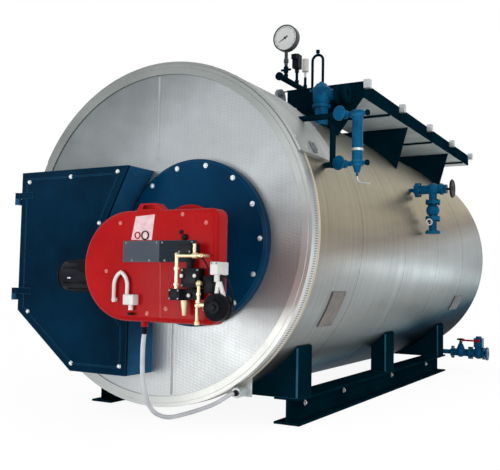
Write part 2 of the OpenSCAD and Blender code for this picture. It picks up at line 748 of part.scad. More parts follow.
module drain_valves() color("royalblue") {
    y = drain_y;
    z = drain_h;
    difference() {
        union() {
            rod_x([0, y, z], 21, drain_end_x);
            for (x = [drain_stop_x - 80, drain_stop_x + 76, drain_stop_x + 92, drain_quick_x + 40])
                rod_x([x, y, z], drain_flange_r - 4, 14);
            rod_x([drain_stop_x - 60, y, z], 34, 120);
            translate([drain_stop_x, y, z]) sphere(44);
            translate([drain_stop_x, y, z + 20]) cylinder(r1 = 42, r2 = 20, h = 60);
            rod_z([drain_stop_x, y, z + 60], 15, 42);
            rod_x([drain_quick_x - 60, y, z], 38, 110);
            translate([drain_quick_x, y, z]) sphere(52);
            rod_z([drain_quick_x, y, z + 20], 36, 40);
            translate([drain_quick_x - 38, y - 42, z + 56]) cube([76, 84, 84]);
            rod_z([drain_quick_x, y, z + 138], 26, 18);
            rod_x([drain_end_x - 16, y, z], drain_flange_r, 16);
        }
        rod_y([0, y - 100, axis_h], shell_r + seat, 200, $fn = 180);
        rod_x([drain_end_x - 50, y, z], drain_bore_r, 60);
        rod_z([drain_stop_x, y, drain_wheel_z - 60], spindle_r + play, 50);
        rod_y([drain_quick_x, y - 50, lever_z], spindle_r + play, 40);
    }
}

module drain_handwheel() color("black")
    translate([drain_stop_x, drain_y, drain_wheel_z]) handwheel(drain_wheel_r, 58);

module blowdown_lever() color("firebrick")
    translate([drain_quick_x, drain_y - 42 - 6, lever_z]) {
        rod_y([0, -16, 0], 18, 16);
        rod_y([0, -4, 0], spindle_r, 38);
        translate([-130, -14, -8]) cube([130, 10, 16]);
        rod_y([-130, -14, 0], 11, 10);
    }

module cable_bracket() color("dimgray") {
    difference() {
        translate([530, ring_depth + 2, gland_z - 28]) cube([60, 6, 120]);
        rod_y([0, ring_depth, axis_h], shell_r + seat, 20, $fn = 180);
    }
    rod_y([540, gland_y, gland_z], 28, ring_depth - gland_y + bite + 2);
}

module power_cable() color("whitesmoke") swept(smooth(cable_points, 5), cable_r, 10);

// Every piece is drawn from the front face, then moved so that the origin lies between the anchors
module placed() translate([0, face_y, 0]) children();

placed() shell_cladding();
placed() front_plate();
placed() front_ring();
placed() top_hood();
placed() rear_plate();
placed() side_cover_front();
placed() side_cover_rear();
placed() rear_smoke_box();
placed() flue_collar();
placed() rail_left();
placed() rail_right();
placed() stand_front();
placed() stand_middle();
placed() stand_rear();
placed() smoke_box();
placed() smoke_door();
placed() burner_plate();
placed() burner_neck();
placed() burner_casing();
placed() burner_cover();
placed() burner_panel_left();
placed() burner_panel_right();
placed() burner_motor();
placed() junction_box();
placed() valve_block();
placed() fuel_pipes();
placed() fuel_pump();
placed() air_servo();
placed() walkway_frame();
placed() walkway_deck();
placed() walkway_joists();
placed() walkway_gussets();
placed() rail_sockets();
placed() lifting_lug();
placed() gauge_manifold();
placed() pressure_gauge();
placed() pressure_switch();
placed() pressure_transmitter();
placed() safety_valve();
placed() safety_outlet();
placed() water_column();
placed() column_piping();
placed() feed_valves();
placed() feed_handwheel();
placed() drain_valves();
placed() drain_handwheel();
placed() blowdown_lever();
placed() cable_bracket();
placed() power_cable();
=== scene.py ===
import json
import math
import bpy
import bmesh
from mathutils import Matrix, Vector


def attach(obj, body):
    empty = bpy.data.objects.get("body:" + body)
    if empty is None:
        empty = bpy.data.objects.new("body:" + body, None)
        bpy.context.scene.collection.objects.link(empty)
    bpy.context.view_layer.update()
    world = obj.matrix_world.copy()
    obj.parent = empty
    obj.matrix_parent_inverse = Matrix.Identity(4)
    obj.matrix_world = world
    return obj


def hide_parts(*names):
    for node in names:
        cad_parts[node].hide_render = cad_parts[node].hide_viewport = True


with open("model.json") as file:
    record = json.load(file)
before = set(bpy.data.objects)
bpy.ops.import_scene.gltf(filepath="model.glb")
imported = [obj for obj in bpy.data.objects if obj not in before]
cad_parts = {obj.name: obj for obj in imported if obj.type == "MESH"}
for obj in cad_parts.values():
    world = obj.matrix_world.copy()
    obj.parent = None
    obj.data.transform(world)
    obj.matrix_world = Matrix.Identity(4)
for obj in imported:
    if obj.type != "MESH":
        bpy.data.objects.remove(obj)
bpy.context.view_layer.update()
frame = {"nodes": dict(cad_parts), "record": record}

shift = -1.968  # from the origin to the boiler's front face, in metres
axisHeight, shellRadius = 1073, 975  # of the shell, in millimetres
forward, backward, upward, rightward = Vector((0, -1, 0)), Vector((0, 1, 0)), Vector((0, 0, 1)), Vector((1, 0, 0))
downward = -upward


def at(x, y, z):
    # places are in millimetres from the front face; radii, lengths and edges are in metres
    return Vector((x / 1000, y / 1000 + shift, z / 1000))


def addObject(name, data):
    made = bpy.data.objects.new(name, data)
    bpy.context.collection.objects.link(made)
    return made


# camera, set to the photograph
view = dict(spot=(2515.0, -3377.3, 803.9), yaw=29.313, pitch=3.681, roll=1.079, lens=52.26, sensor=36, clip=(0.1, 200))


def makeCamera():
    yaw, pitch, roll = (math.radians(view[k]) for k in ("yaw", "pitch", "roll"))
    ahead = Vector((-math.sin(yaw) * math.cos(pitch), math.cos(yaw) * math.cos(pitch), math.sin(pitch)))
    right = Vector((math.cos(yaw), math.sin(yaw), 0))
    up = right.cross(ahead)
    across = right * math.cos(roll) + up * math.sin(roll)
    rise = -right * math.sin(roll) + up * math.cos(roll)
    data = bpy.data.cameras.new("camera")
    data.lens, data.sensor_width = view["lens"], view["sensor"]
    data.clip_start, data.clip_end = view["clip"]
    camera = addObject("camera", data)
    camera.matrix_world = Matrix.Translation(at(*view["spot"])) @ Matrix((across, rise, -ahead)).transposed().to_4x4()
    bpy.context.scene.camera = camera


makeCamera()
print("camera set")


# short ways to add nodes, for materials and for geometry
def setInput(tree, socket, value):
    # a socket gets linked, a plain value or colour gets set
    if isinstance(value, bpy.types.NodeSocket):
        tree.links.new(value, socket)
    elif socket.type == "RGBA":
        socket.default_value = (*value, 1)
    else:
        socket.default_value = value


def node(tree, kind, **settings):
    made = tree.nodes.new(kind)
    for key, value in settings.items():
        if key in made.inputs:
            setInput(tree, made.inputs[key], value)
        else:
            setattr(made, key, value)
    return made


def sums(tree, kind, *values):
    made = tree.nodes.new("ShaderNodeMath")
    made.operation = kind
    for socket, value in zip(made.inputs, values):
        setInput(tree, socket, value)
    return made.outputs[0]


def times(tree, first, second):
    return sums(tree, "MULTIPLY", first, second)


def timesPlus(tree, first, second, third):
    return sums(tree, "MULTIPLY_ADD", first, second, third)


def apart(tree, place):
    return node(tree, "ShaderNodeSeparateXYZ", Vector=place).outputs


def stretched(tree, place, scale):
    return node(tree, "ShaderNodeMapping", Vector=place, Scale=scale).outputs[0]


def noise(tree, place, scale, detail=3.0, rough=0.55):
    return node(tree, "ShaderNodeTexNoise", Vector=place, Scale=scale, Detail=detail, Roughness=rough).outputs["Fac"]


def ramp(tree, source, stops):
    made = tree.nodes.new("ShaderNodeValToRGB")
    tree.links.new(source, made.inputs[0])
    while len(made.color_ramp.elements) < len(stops):
        made.color_ramp.elements.new(0.5)
    for element, (spot, colour) in zip(made.color_ramp.elements, stops):
        element.position = spot
        element.color = (*colour, 1) if hasattr(colour, "__len__") else (colour, colour, colour, 1)
    return made.outputs[0]


def mixed(tree, amount, first, second, blend="MIX"):
    made = tree.nodes.new("ShaderNodeMix")
    made.data_type, made.blend_type = "RGBA", blend
    for number, value in ((0, amount), (6, first), (7, second)):  # the factor and the two colours
        setInput(tree, made.inputs[number], value)
    return made.outputs[2]


def bump(tree, height, strength, distance, under=None):
    made = node(tree, "ShaderNodeBump", Height=height, Strength=strength, Distance=distance)
    if under is not None:
        tree.links.new(under, made.inputs["Normal"])
    return made.outputs[0]


def roundedEdge(tree, radius):
    return node(tree, "ShaderNodeBevel", Radius=radius, samples=4).outputs[0]


def edgeWearAndHighlightMask(tree, radius, low, high):
    # pale where the rounded normal leaves the flat one, so along the edges, as worn paint and as a painted edge
    # highlight
    dot = node(tree, "ShaderNodeVectorMath", operation="DOT_PRODUCT")
    tree.links.new(roundedEdge(tree, radius), dot.inputs[0])
    tree.links.new(tree.nodes.new("ShaderNodeNewGeometry").outputs["Normal"], dot.inputs[1])
    return ramp(tree, dot.outputs["Value"], [(low, 1.0), (high, 0.0)])


def newFinish(name):
    material = bpy.data.materials.new(name)
    material.use_nodes = True
    tree = material.node_tree
    return material, tree, tree.nodes.new("ShaderNodeTexCoord").outputs["Object"]


def dress(tree, base, rough, normal, others):
    # joins what was worked out to the material's own shader
    inputs = tree.nodes["Principled BSDF"].inputs
    for name, value in {"Base Color": base, "Roughness": rough, "Normal": normal, **others}.items():
        setInput(tree, inputs[name], value)


def enamel(name, deep, light, edgeWearAndHighlight, rough=0.22, gloss=0.2, peel=0.12, edge=0.004, grain=2.4):
    # painted metal: slow shade change, fine specks, orange peel, and paler edges that are partly worn paint and partly
    # a painted highlight
    material, tree, place = newFinish(name)
    slow = ramp(tree, noise(tree, place, grain, 4), [(0.35, deep), (0.68, light)])
    specks = ramp(tree, noise(tree, place, 190, 2), [(0.30, 0.90), (0.62, 1.0)])
    base = mixed(tree, edgeWearAndHighlightMask(tree, edge, 0.86, 0.99), mixed(tree, 1.0, slow, specks, "MULTIPLY"), edgeWearAndHighlight)
    scuffs = ramp(tree, noise(tree, place, 9, 5, 0.65), [(0.35, rough * 0.8), (0.75, rough * 1.5)])
    normal = bump(tree, noise(tree, place, 140, 2), peel, 0.0006, roundedEdge(tree, edge))
    dress(tree, base, scuffs, normal, {"Specular IOR Level": gloss})
    return material


def castMetal(name, deep, light, metallic=1.0, rough=0.35, grain=60, coarse=0.3, edge=0.0025):
    # bare metal with a slow tarnish and a fine grain
    material, tree, place = newFinish(name)
    base = ramp(tree, noise(tree, place, 7, 5), [(0.3, deep), (0.7, light)])
    dulled = ramp(tree, noise(tree, place, 22, 4), [(0.3, rough * 0.8), (0.75, rough * 1.35)])
    normal = bump(tree, noise(tree, place, grain, 3), coarse, 0.0005, roundedEdge(tree, edge))
    dress(tree, base, dulled, normal, {"Metallic": metallic})
    return material


def moulded(name, deep, light, rough=0.45, grain=240, strength=0.2, gloss=0.5):
    # plastic with a fine moulded grain
    material, tree, place = newFinish(name)
    base = ramp(tree, noise(tree, place, 12, 3), [(0.3, deep), (0.7, light)])
    dulled = ramp(tree, noise(tree, place, 40, 3), [(0.3, rough * 0.85), (0.7, rough * 1.2)])
    normal = bump(tree, noise(tree, place, grain, 2), strength, 0.0004, roundedEdge(tree, 0.002))
    dress(tree, base, dulled, normal, {"Specular IOR Level": gloss})
    return material


# the flank stops are a painted reflection and painted shade by height: dark and cool low down, warm high up
sheet = dict(pitch=46, fine=420, deep=(0.19, 0.185, 0.18), light=(0.35, 0.345, 0.335), rough=0.36,
             metallic=0.92, paintedFlankLight=[
                 (0.10, (0.06, 0.13, 0.17)), (0.19, (0.16, 0.28, 0.35)), (0.25, (0.54, 0.62, 0.64)),
                 (0.34, (0.80, 0.84, 0.84)), (0.41, (0.94, 1.0, 1.03)), (0.50, (0.96, 0.99, 0.99)),
                 (0.56, (0.80, 0.75, 0.68)), (0.62, (0.98, 0.90, 0.74)), (0.72, (1.02, 0.96, 0.80)),
                 (0.92, (0.95, 0.98, 0.92))])


def claddingFinish():
    # rolled sheet: streaks run round the shell, with fainter stains along it
    material, tree, place = newFinish("claddingSheet")
    broad = noise(tree, stretched(tree, place, (0.5, sheet["pitch"], 0.5)), 1.0, 4, 0.6)
    fine = noise(tree, stretched(tree, place, (3.0, sheet["fine"], 3.0)), 1.0, 2, 0.6)
    stain = noise(tree, stretched(tree, place, (1.2, 0.5, 2.6)), 1.0, 5, 0.6)
    streaks = timesPlus(tree, fine, 0.45, timesPlus(tree, broad, 0.25, times(tree, stain, 0.3)))
    base = ramp(tree, streaks, [(0.34, sheet["deep"]), (0.66, sheet["light"])])
    # painted reflection and shade: the upper flank is tinted warm as a painted reflection, the lower one is cooled and
    # darkened towards the rail and towards the rear as painted shade, and the same ramp dims the reflection through
    # Specular Tint
    axes = apart(tree, place)
    paintedLightLevel = timesPlus(tree, stain, 0.12, timesPlus(tree, axes["Y"], -0.12, axes["Z"]))
    paintedFlankLight = ramp(tree, times(tree, paintedLightLevel, 0.45), sheet["paintedFlankLight"])
    dress(tree, mixed(tree, 1.0, base, paintedFlankLight, "MULTIPLY"),
          ramp(tree, streaks, [(0.3, sheet["rough"] * 1.25), (0.7, sheet["rough"] * 0.8)]),
          bump(tree, timesPlus(tree, broad, 0.5, fine), 0.05, 0.0012),
          {"Metallic": sheet["metallic"], "Specular Tint": paintedFlankLight})
    return material


paintedLightSlope = dict(across=0.9, down=-1.0, low=-2.35, high=0.15)  # painted shade dim at the top left, painted light clear at the lower right


def paintedSlopeShade(tree, place, stops):
    # painted light and shade that runs along x and z together over the front face
    axes = apart(tree, place)
    slope = timesPlus(tree, axes["X"], paintedLightSlope["across"], times(tree, axes["Z"], paintedLightSlope["down"]))
    scaled = node(tree, "ShaderNodeMapRange", **{"From Min": paintedLightSlope["low"], "From Max": paintedLightSlope["high"]})
    tree.links.new(slope, scaled.inputs[0])
    return ramp(tree, scaled.outputs[0], stops)


stucco = dict(across=131, down=175, slant=0.3, drift=3.4, deep=(0.35, 0.37, 0.377), light=(0.535, 0.555, 0.56),
              rough=0.42, metallic=0.85, paintedLightStops=[
                  (0.04, (0.33, 0.35, 0.35)), (0.17, (0.46, 0.48, 0.485)), (0.34, (0.66, 0.68, 0.69)),
                  (0.61, (0.86, 0.87, 0.88)), (0.94, (1.0, 1.0, 1.0))])


def stuccoFinish():
    # embossed sheet: a staggered lattice of small raised pads over slow shade changes, darkened at the top left and
    # lightened at the lower right as painted light
    material, tree, place = newFinish("stuccoSheet")
    axes = apart(tree, place)
    drift = times(tree, noise(tree, place, 26, 2), stucco["drift"])
    across = timesPlus(tree, axes["X"], stucco["across"], drift)
    rows = timesPlus(tree, axes["X"], stucco["slant"], axes["Z"])
    waves = [sums(tree, "SINE", timesPlus(tree, rows, down, across)) for down in (stucco["down"], -stucco["down"])]
    pad = timesPlus(tree, times(tree, *waves), 0.5, 0.5)
    slow = noise(tree, place, 1.7, 5, 0.6)
    tone = timesPlus(tree, pad, 0.09, times(tree, slow, 0.80))
    base = ramp(tree, tone, [(0.26, stucco["deep"]), (0.66, stucco["light"])])
    dress(tree, mixed(tree, 1.0, base, paintedSlopeShade(tree, place, stucco["paintedLightStops"]), "MULTIPLY"),
          ramp(tree, slow, [(0.3, stucco["rough"] * 1.25), (0.7, stucco["rough"] * 0.85)]),
          bump(tree, pad, 0.22, 0.0012), {"Metallic": stucco["metallic"]})
    return material


trim = dict(deep=(0.62, 0.645, 0.63), light=(0.78, 0.80, 0.79), metallic=0.65, paintedLightStops=[
    (0.05, (0.28, 0.29, 0.285)), (0.20, (0.33, 0.34, 0.335)), (0.44, (0.45, 0.47, 0.465)),
    (0.84, (0.66, 0.67, 0.67)), (1.0, (0.95, 0.94, 0.92))])


def trimFinish():
    # smooth trim of the ring and the hood, with the same painted light and shade slope as the front face
    material, tree, place = newFinish("trimSheet")
    slow = noise(tree, stretched(tree, place, (2.2, 9, 2.2)), 1.0, 4)
    base = ramp(tree, slow, [(0.3, trim["deep"]), (0.7, trim["light"])])
    dress(tree, mixed(tree, 1.0, base, paintedSlopeShade(tree, place, trim["paintedLightStops"]), "MULTIPLY"),
          ramp(tree, slow, [(0.3, 0.50), (0.7, 0.38)]),
          bump(tree, noise(tree, place, 60, 2), 0.06, 0.0008, roundedEdge(tree, 0.003)), {"Metallic": trim["metallic"]})
    return material


finishes = {
    "clad_sheet": claddingFinish(),
    "stucco_sheet": stuccoFinish(),
    "trim_sheet": trimFinish(),
    "navy_paint": enamel("navyEnamel", (0.0004, 0.013, 0.032), (0.0006, 0.028, 0.068), (0.02, 0.12, 0.22), gloss=0.02),
    "dark_paint": enamel("darkEnamel", (0.0004, 0.011, 0.020), (0.0008, 0.022, 0.036), (0.006, 0.045, 0.08), 0.45, 0.0),
    "red_paint": enamel("redEnamel", (0.38, 0.005, 0.007), (0.48, 0.010, 0.012), (0.62, 0.07, 0.06), 0.24, 0.05),
    "blue_paint": enamel("blueEnamel", (0.001, 0.075, 0.19), (0.003, 0.14, 0.31), (0.05, 0.28, 0.46), 0.27, 0.05,
                         peel=0.3, edge=0.003, grain=14),
    "black_plastic": moulded("blackPlastic", (0.004, 0.005, 0.007), (0.016, 0.018, 0.024), 0.35, gloss=0.05),
    "grey_panel": enamel("greyPanel", (0.070, 0.085, 0.11), (0.10, 0.115, 0.14), (0.22, 0.24, 0.28), 0.35, 0.04),
    "dark_panel": enamel("darkPanel", (0.012, 0.020, 0.028), (0.028, 0.040, 0.052), (0.10, 0.13, 0.16), 0.32, 0.04),
    "white_plastic": moulded("whitePlastic", (0.60, 0.60, 0.58), (0.76, 0.76, 0.74), 0.42),
    "brass_pipe": castMetal("brassPipe", (0.55, 0.44, 0.24), (0.80, 0.70, 0.48), 0.75, 0.34),
    "galvanised": castMetal("galvanised", (0.44, 0.48, 0.49), (0.66, 0.70, 0.71), 0.7, 0.42, grain=24, coarse=0.2),
    "cable_grey": moulded("cableGrey", (0.50, 0.53, 0.57), (0.66, 0.69, 0.72), 0.45, grain=90, strength=0.1),
}
# nodes whose tone in the photograph differs from the rest of their slot
ownFinishes = {
    "burner_plate": enamel("plateEnamel", (0.0005, 0.026, 0.072), (0.0010, 0.050, 0.125), (0.03, 0.16, 0.28),
                           0.18, 0.035),
    # the smoke box paint is lighter than the navy as painted light on its side wall
    "smoke_box": enamel("boxEnamelPaintedLight", (0.008, 0.065, 0.15), (0.022, 0.14, 0.30), (0.04, 0.18, 0.30), 0.3, 0.03),
    # the deck sheet is paler than galvanised steel as painted light on its underside
    "walkway_deck": castMetal("deckSheetPaintedLight", (0.56, 0.68, 0.71), (0.80, 0.88, 0.90), 0.10, 0.5, grain=24, coarse=0.2),
    "side_cover_front": castMetal("coverSheet", (0.13, 0.115, 0.105), (0.20, 0.18, 0.165), 0.7, 0.5,
                                  grain=90, coarse=0.2),
    # the rear side cover takes a darker copy of the cover sheet as painted shade
    "side_cover_rear": castMetal("coverSheetPaintedShade", (0.06, 0.068, 0.074), (0.10, 0.112, 0.12), 0.6, 0.5,
                                 grain=90, coarse=0.2),
    "pressure_gauge": castMetal("gaugeCase", (0.025, 0.03, 0.035), (0.07, 0.08, 0.09), 0.5),
    "walkway_frame": enamel("frameEnamel", (0.0004, 0.011, 0.020), (0.0008, 0.022, 0.036), (0.004, 0.03, 0.05),
                            0.5, 0.0),
    "rear_plate": castMetal("rearSheet", (0.20, 0.205, 0.205), (0.33, 0.335, 0.33), 0.9, 0.42, coarse=0.1),
    "lifting_lug": castMetal("lugSteel", (0.10, 0.12, 0.14), (0.22, 0.25, 0.28), 0.5, 0.45),
}
for part in frame["record"]["subparts"]:
    skin = frame["nodes"][part["node"]].data.materials
    skin.clear()
    skin.append(ownFinishes.get(part["node"], finishes[part["material_slot"]]))
darkPaint, galvanised, whitePlastic = finishes["dark_paint"], finishes["galvanised"], finishes["white_plastic"]
boltPale = castMetal("boltPale", (0.62, 0.68, 0.72), (0.82, 0.87, 0.90), 0.55, 0.3, grain=200, coarse=0.1, edge=0.001)
boltDull = castMetal("boltDull", (0.16, 0.17, 0.19), (0.28, 0.30, 0.33), 0.6, 0.4, grain=200, coarse=0.1, edge=0.001)
knobDark = moulded("knobDark", (0.003, 0.004, 0.006), (0.010, 0.012, 0.016), 0.3, gloss=0.04)
print("materials made")

# shapes
sharpAngle = math.radians(32)  # edges bent further than this stay sharp


def finishPiece(name, mesh, finish, body, smooth=True):
    made = addObject(name, mesh)
    if not mesh.materials:
        mesh.materials.append(finish)
    if smooth:
        mesh.shade_smooth()
        mesh.set_sharp_from_angle(angle=sharpAngle)
    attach(made, body)
    return made


def buildPiece(name, build, finish, body="boiler", smooth=True):
    # a piece from one bmesh, doubles merged and faces turned outwards
    form = bmesh.new()
    build(form)
    bmesh.ops.remove_doubles(form, verts=form.verts, dist=1e-6)
    bmesh.ops.recalc_face_normals(form, faces=form.faces)
    mesh = bpy.data.meshes.new(name)
    form.to_mesh(mesh)
    form.free()
    return finishPiece(name, mesh, finish, body, smooth)


def standIn(name, build, finish, cadNode):
    # a finer piece that takes the place of a CAD node
    made = buildPiece(name, build, finish)
    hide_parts(cadNode)


def turns(count, start=0.0):
    # angles in even steps round a circle, the first one start steps on
    return [2 * math.pi * (k + start) / count for k in range(count)]


def addSkin(form, rows):
    # faces between rows of as many points, and one over each end
    count = len(rows[0])
    for low, high in zip(rows, rows[1:]):
        for k in range(count):
            form.faces.new((low[k], low[(k + 1) % count], high[(k + 1) % count], high[k]))
    form.faces.new(rows[0])
    form.faces.new(rows[-1])


def addBlock(form, low, high, edge=0.001, turn=None):
    # a block between two corners, its edges rounded off
    cube = bmesh.ops.create_cube(form, size=1)["verts"]
    size, middle = high - low, (high + low) / 2
    for v in cube:
        v.co = v.co * size + middle
    edges = list({e for v in cube for e in v.link_edges})
    edge = min(edge, min(size) * 0.45)
    made = bmesh.ops.bevel(form, geom=edges, offset=edge, segments=2, affect="EDGES", profile=0.6)
    if turn is not None:
        verts = {v for f in made["faces"] for v in f.verts} | {v for v in cube if v.is_valid}
        bmesh.ops.transform(form, matrix=turn, verts=list(verts))


def addBox(form, corner, size, edge=0.0025):
    # a block from its low corner and its size, both in millimetres
    low = at(*corner)
    addBlock(form, low, low + Vector(size) / 1000, edge)


def addTurned(form, base, axis, profile, sides=32):
    # a turned solid: (radius, height) pairs along the axis from its base
    tilt = axis.normalized().to_track_quat("Z", "Y").to_matrix()
    rings = []
    for radius, height in profile:
        angles = turns(sides) if radius > 0 else [0.0]
        spots = [Vector((radius * math.cos(a), radius * math.sin(a), height)) for a in angles]
        rings.append([form.verts.new(base + tilt @ spot) for spot in spots])
    for low, high in zip(rings, rings[1:]):
        for k in range(sides):
            corners = (low[k % len(low)], low[(k + 1) % len(low)], high[(k + 1) % len(high)], high[k % len(high)])
            kept = list(dict.fromkeys(corners))  # a pole fills two corners
            if len(kept) > 2:
                form.faces.new(kept)


def addRod(form, start, axis, radius, length, sides=24):
    edge = 0.0008
    flat = radius - edge
    profile = [(0, 0), (flat, 0), (radius, edge), (radius, length - edge), (flat, length), (0, length)]
    addTurned(form, at(*start), axis, profile, sides)


def addBall(form, middle, radius):
    arc = [(radius * math.sin(a), -radius * math.cos(a)) for a in (math.pi * k / 12 for k in range(1, 12))]
    addTurned(form, at(*middle), upward, [(0, -radius)] + arc + [(0, radius)], 24)


def addTube(form, path, radius, beside, sides=14):
    # a tube along points; beside is a direction that the path never takes
    rows = []
    for i, spot in enumerate(path):
        ahead = (path[min(i + 1, len(path) - 1)] - path[max(i - 1, 0)]).normalized()
        across = ahead.cross(beside).normalized()
        rise = across.cross(ahead)
        ring = [radius * (across * math.cos(a) + rise * math.sin(a)) for a in turns(sides)]
        rows.append([form.verts.new(spot + out) for out in ring])
    addSkin(form, rows)


def addStrip(form, path, across, ups, width, height):
    # a flat strip along a path; across is its side direction, ups its upward one at each point
    rows = []
    for spot, up in zip(path, ups):
        corners = ((-1, 0), (-1, 1), (1, 1), (1, 0))
        rows.append([form.verts.new(spot + across * width / 2 * s + up * height * h) for s, h in corners])
    addSkin(form, rows)


def addPanel(form, outline, front, thick, edge=0.8):
    # a flat plate from an outline of x and z in millimetres, its front edge bevelled
    middle = Vector((sum(x for x, z in outline), sum(z for x, z in outline))) / len(outline)
    rows = []
    for y, pull in ((front + thick, 0), (front + edge, 0), (front, edge)):
        spots = [Vector(corner) + (middle - Vector(corner)).normalized() * pull for corner in outline]
        rows.append([form.verts.new(at(spot.x, y, spot.y)) for spot in spots])
    addSkin(form, rows)


def addForms(form, boxes=(), rods=(), balls=(), turned=()):
    # the plain forms of a fitting, from its dictionary
    for box in boxes:
        addBox(form, *box)
    for rod in rods:
        addRod(form, *rod)
    for ball in balls:
        addBall(form, *ball)
    for base, axis, profile, sides in turned:
        addTurned(form, at(*base), axis, profile, sides)


def smoothRoute(points, steps):
    # a smooth curve through all the points
    route, last = [], len(points) - 1
    for i in range(last):
        a, b, c, d = points[max(i - 1, 0)], points[i], points[i + 1], points[min(i + 2, last)]
        bend, twist = 2 * a - 5 * b + 4 * c - d, 3 * b - a - 3 * c + d
        route += [(2 * b + (c - a) * t + bend * t ** 2 + twist * t ** 3) / 2 for t in (k / steps for k in range(steps))]
    return route + [points[last]]


def tubeCurve(name, route, radius, finish, sides=3):
    data = bpy.data.curves.new(name, "CURVE")
    data.dimensions, data.bevel_depth, data.bevel_resolution, data.use_fill_caps = "3D", radius, sides, True
    line = data.splines.new("POLY")
    line.points.add(len(route) - 1)
    for point, spot in zip(line.points, route):
        point.co = (*spot, 1)
    data.materials.append(finish)
    made = addObject(name, data)
    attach(made, "boiler")
    return made


# power cable, the only free cord
cable = dict(radius=0.011, steps=8, sides=6, route=[
    (430, -650, 585.7), (430, -650, 574), (430, -650, 560), (412, -635, 475), (392, -600, 332),
    (377, -520, 193), (395, -420, 133), (418, -280, 129), (483, -120, 160), (532, -34, 204),
    (540, -8, 208), (540, 6, 208), (540, 19.7, 208)])
relief = dict(long=0.034, thick=0.0165, thin=0.0122, bore=0.011, ribs=5, groove=0.0014)


def buildRelief(base, axis):
    # a tapered sleeve with grip ribs
    def build(form):
        profile = [(relief["bore"], 0), (relief["thick"], 0)]
        for share in ((k + 0.5) / relief["ribs"] for k in range(relief["ribs"])):
            wide = relief["thick"] + (relief["thin"] - relief["thick"]) * share
            rise = relief["long"] * share
            profile += [(wide, rise - 0.0022), (wide - relief["groove"], rise - 0.0008),
                        (wide - relief["groove"], rise + 0.0012), (wide, rise + 0.0024)]
        profile += [(relief["thin"], relief["long"]), (relief["bore"], relief["long"]), (relief["bore"], 0)]
        addTurned(form, base, axis, profile, 24)
    return build


cableRoute = smoothRoute([at(*p) for p in cable["route"]], cable["steps"])
cableReliefs = [buildPiece(name, buildRelief(base, axis), finishes["black_plastic"]) for name, base, axis in (
    ("coverRelief", cableRoute[0], downward), ("glandRelief", cableRoute[-1], forward))]
powerCable = tubeCurve("powerCable", cableRoute, cable["radius"], finishes["cable_grey"], cable["sides"])
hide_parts("power_cable")


# geometry nodes for what repeats
def startTree(name, sizes, counts=()):
    # sizes become Float inputs and counts Int ones, and every tree takes a Material
    tree = bpy.data.node_groups.new(name, "GeometryNodeTree")
    tree.is_modifier = True
    kinds = [("Geometry", "Geometry"), *((size, "Float") for size in sizes), *((count, "Int") for count in counts)]
    for label, kind in kinds + [("Material", "Material")]:
        tree.interface.new_socket(label, in_out="INPUT", socket_type="NodeSocket" + kind)
    tree.interface.new_socket("Geometry", in_out="OUTPUT", socket_type="NodeSocketGeometry")
    return tree, tree.nodes.new("NodeGroupInput").outputs


def endTree(tree, given, points, instance, **ways):
    # the instance on every point, made real and given its finish
    placed = node(tree, "GeometryNodeInstanceOnPoints", Points=points, Instance=instance, **ways)
    real = node(tree, "GeometryNodeRealizeInstances", Geometry=placed.outputs[0])
    painted = node(tree, "GeometryNodeSetMaterial", Geometry=real.outputs[0], Material=given["Material"])
    tree.links.new(painted.outputs[0], tree.nodes.new("NodeGroupOutput").inputs[0])
    return tree


def vector(tree, x=0.0, y=0.0, z=0.0):
    return node(tree, "ShaderNodeCombineXYZ", X=x, Y=y, Z=z).outputs[0]


def awayFromMiddle(tree):
    # turns each instance about Z until its X side looks outwards
    spot = tree.nodes.new("GeometryNodeInputPosition").outputs[0]
    return node(tree, "FunctionNodeAlignRotationToVector", axis="X", pivot_axis="Z", Vector=spot).outputs[0]


def runTree(name, tree, values, body="boiler", base=None):
    # grows a tree on a base mesh and keeps the plain result
    grower = addObject(name + "Grower", base or bpy.data.meshes.new(name + "Base"))
    modifier = grower.modifiers.new(name, "NODES")
    modifier.node_group = tree
    for item in tree.interface.items_tree:
        if item.in_out == "INPUT" and item.name in values:
            modifier[item.identifier] = values[item.name]
    mesh = bpy.data.meshes.new_from_object(grower.evaluated_get(bpy.context.evaluated_depsgraph_get()))
    mesh.name = name
    grower.modifiers.clear()
    bpy.data.objects.remove(grower)
    return finishPiece(name, mesh, values["Material"], body)


def fastenerTree():
    # a washer, a head with flats and a low dome, set on every point to face its own way
    tree, given = startTree("fastenerTree", ("Head radius", "Head height", "Washer radius", "Dome"), ("Sides",))
    washer = node(tree, "GeometryNodeMeshCylinder", Vertices=20, Radius=given["Washer radius"], Depth=0.002)
    head = node(tree, "GeometryNodeMeshCylinder", Vertices=given["Sides"], Radius=given["Head radius"],
                Depth=given["Head height"])
    raised = node(tree, "GeometryNodeTransform", Geometry=head.outputs["Mesh"],
                  Translation=vector(tree, z=times(tree, given["Head height"], 0.5)))
    dome = node(tree, "GeometryNodeMeshUVSphere", Segments=14, Rings=8, Radius=times(tree, given["Head radius"], 0.94))
    cap = node(tree, "GeometryNodeTransform", Geometry=dome.outputs["Mesh"],
               Translation=vector(tree, z=given["Head height"]), Scale=vector(tree, 1.0, 1.0, given["Dome"]))
    joined = tree.nodes.new("GeometryNodeJoinGeometry")
    for part in (washer.outputs["Mesh"], raised.outputs[0], cap.outputs[0]):
        tree.links.new(part, joined.inputs[0])
    facing = node(tree, "GeometryNodeInputNamedAttribute", data_type="FLOAT_VECTOR", Name="facing")
    turned = node(tree, "FunctionNodeAlignRotationToVector", axis="Z", Vector=facing.outputs["Attribute"])
    return endTree(tree, given, given["Geometry"], joined.outputs[0], Rotation=turned.outputs[0])


boltTree = fastenerTree()


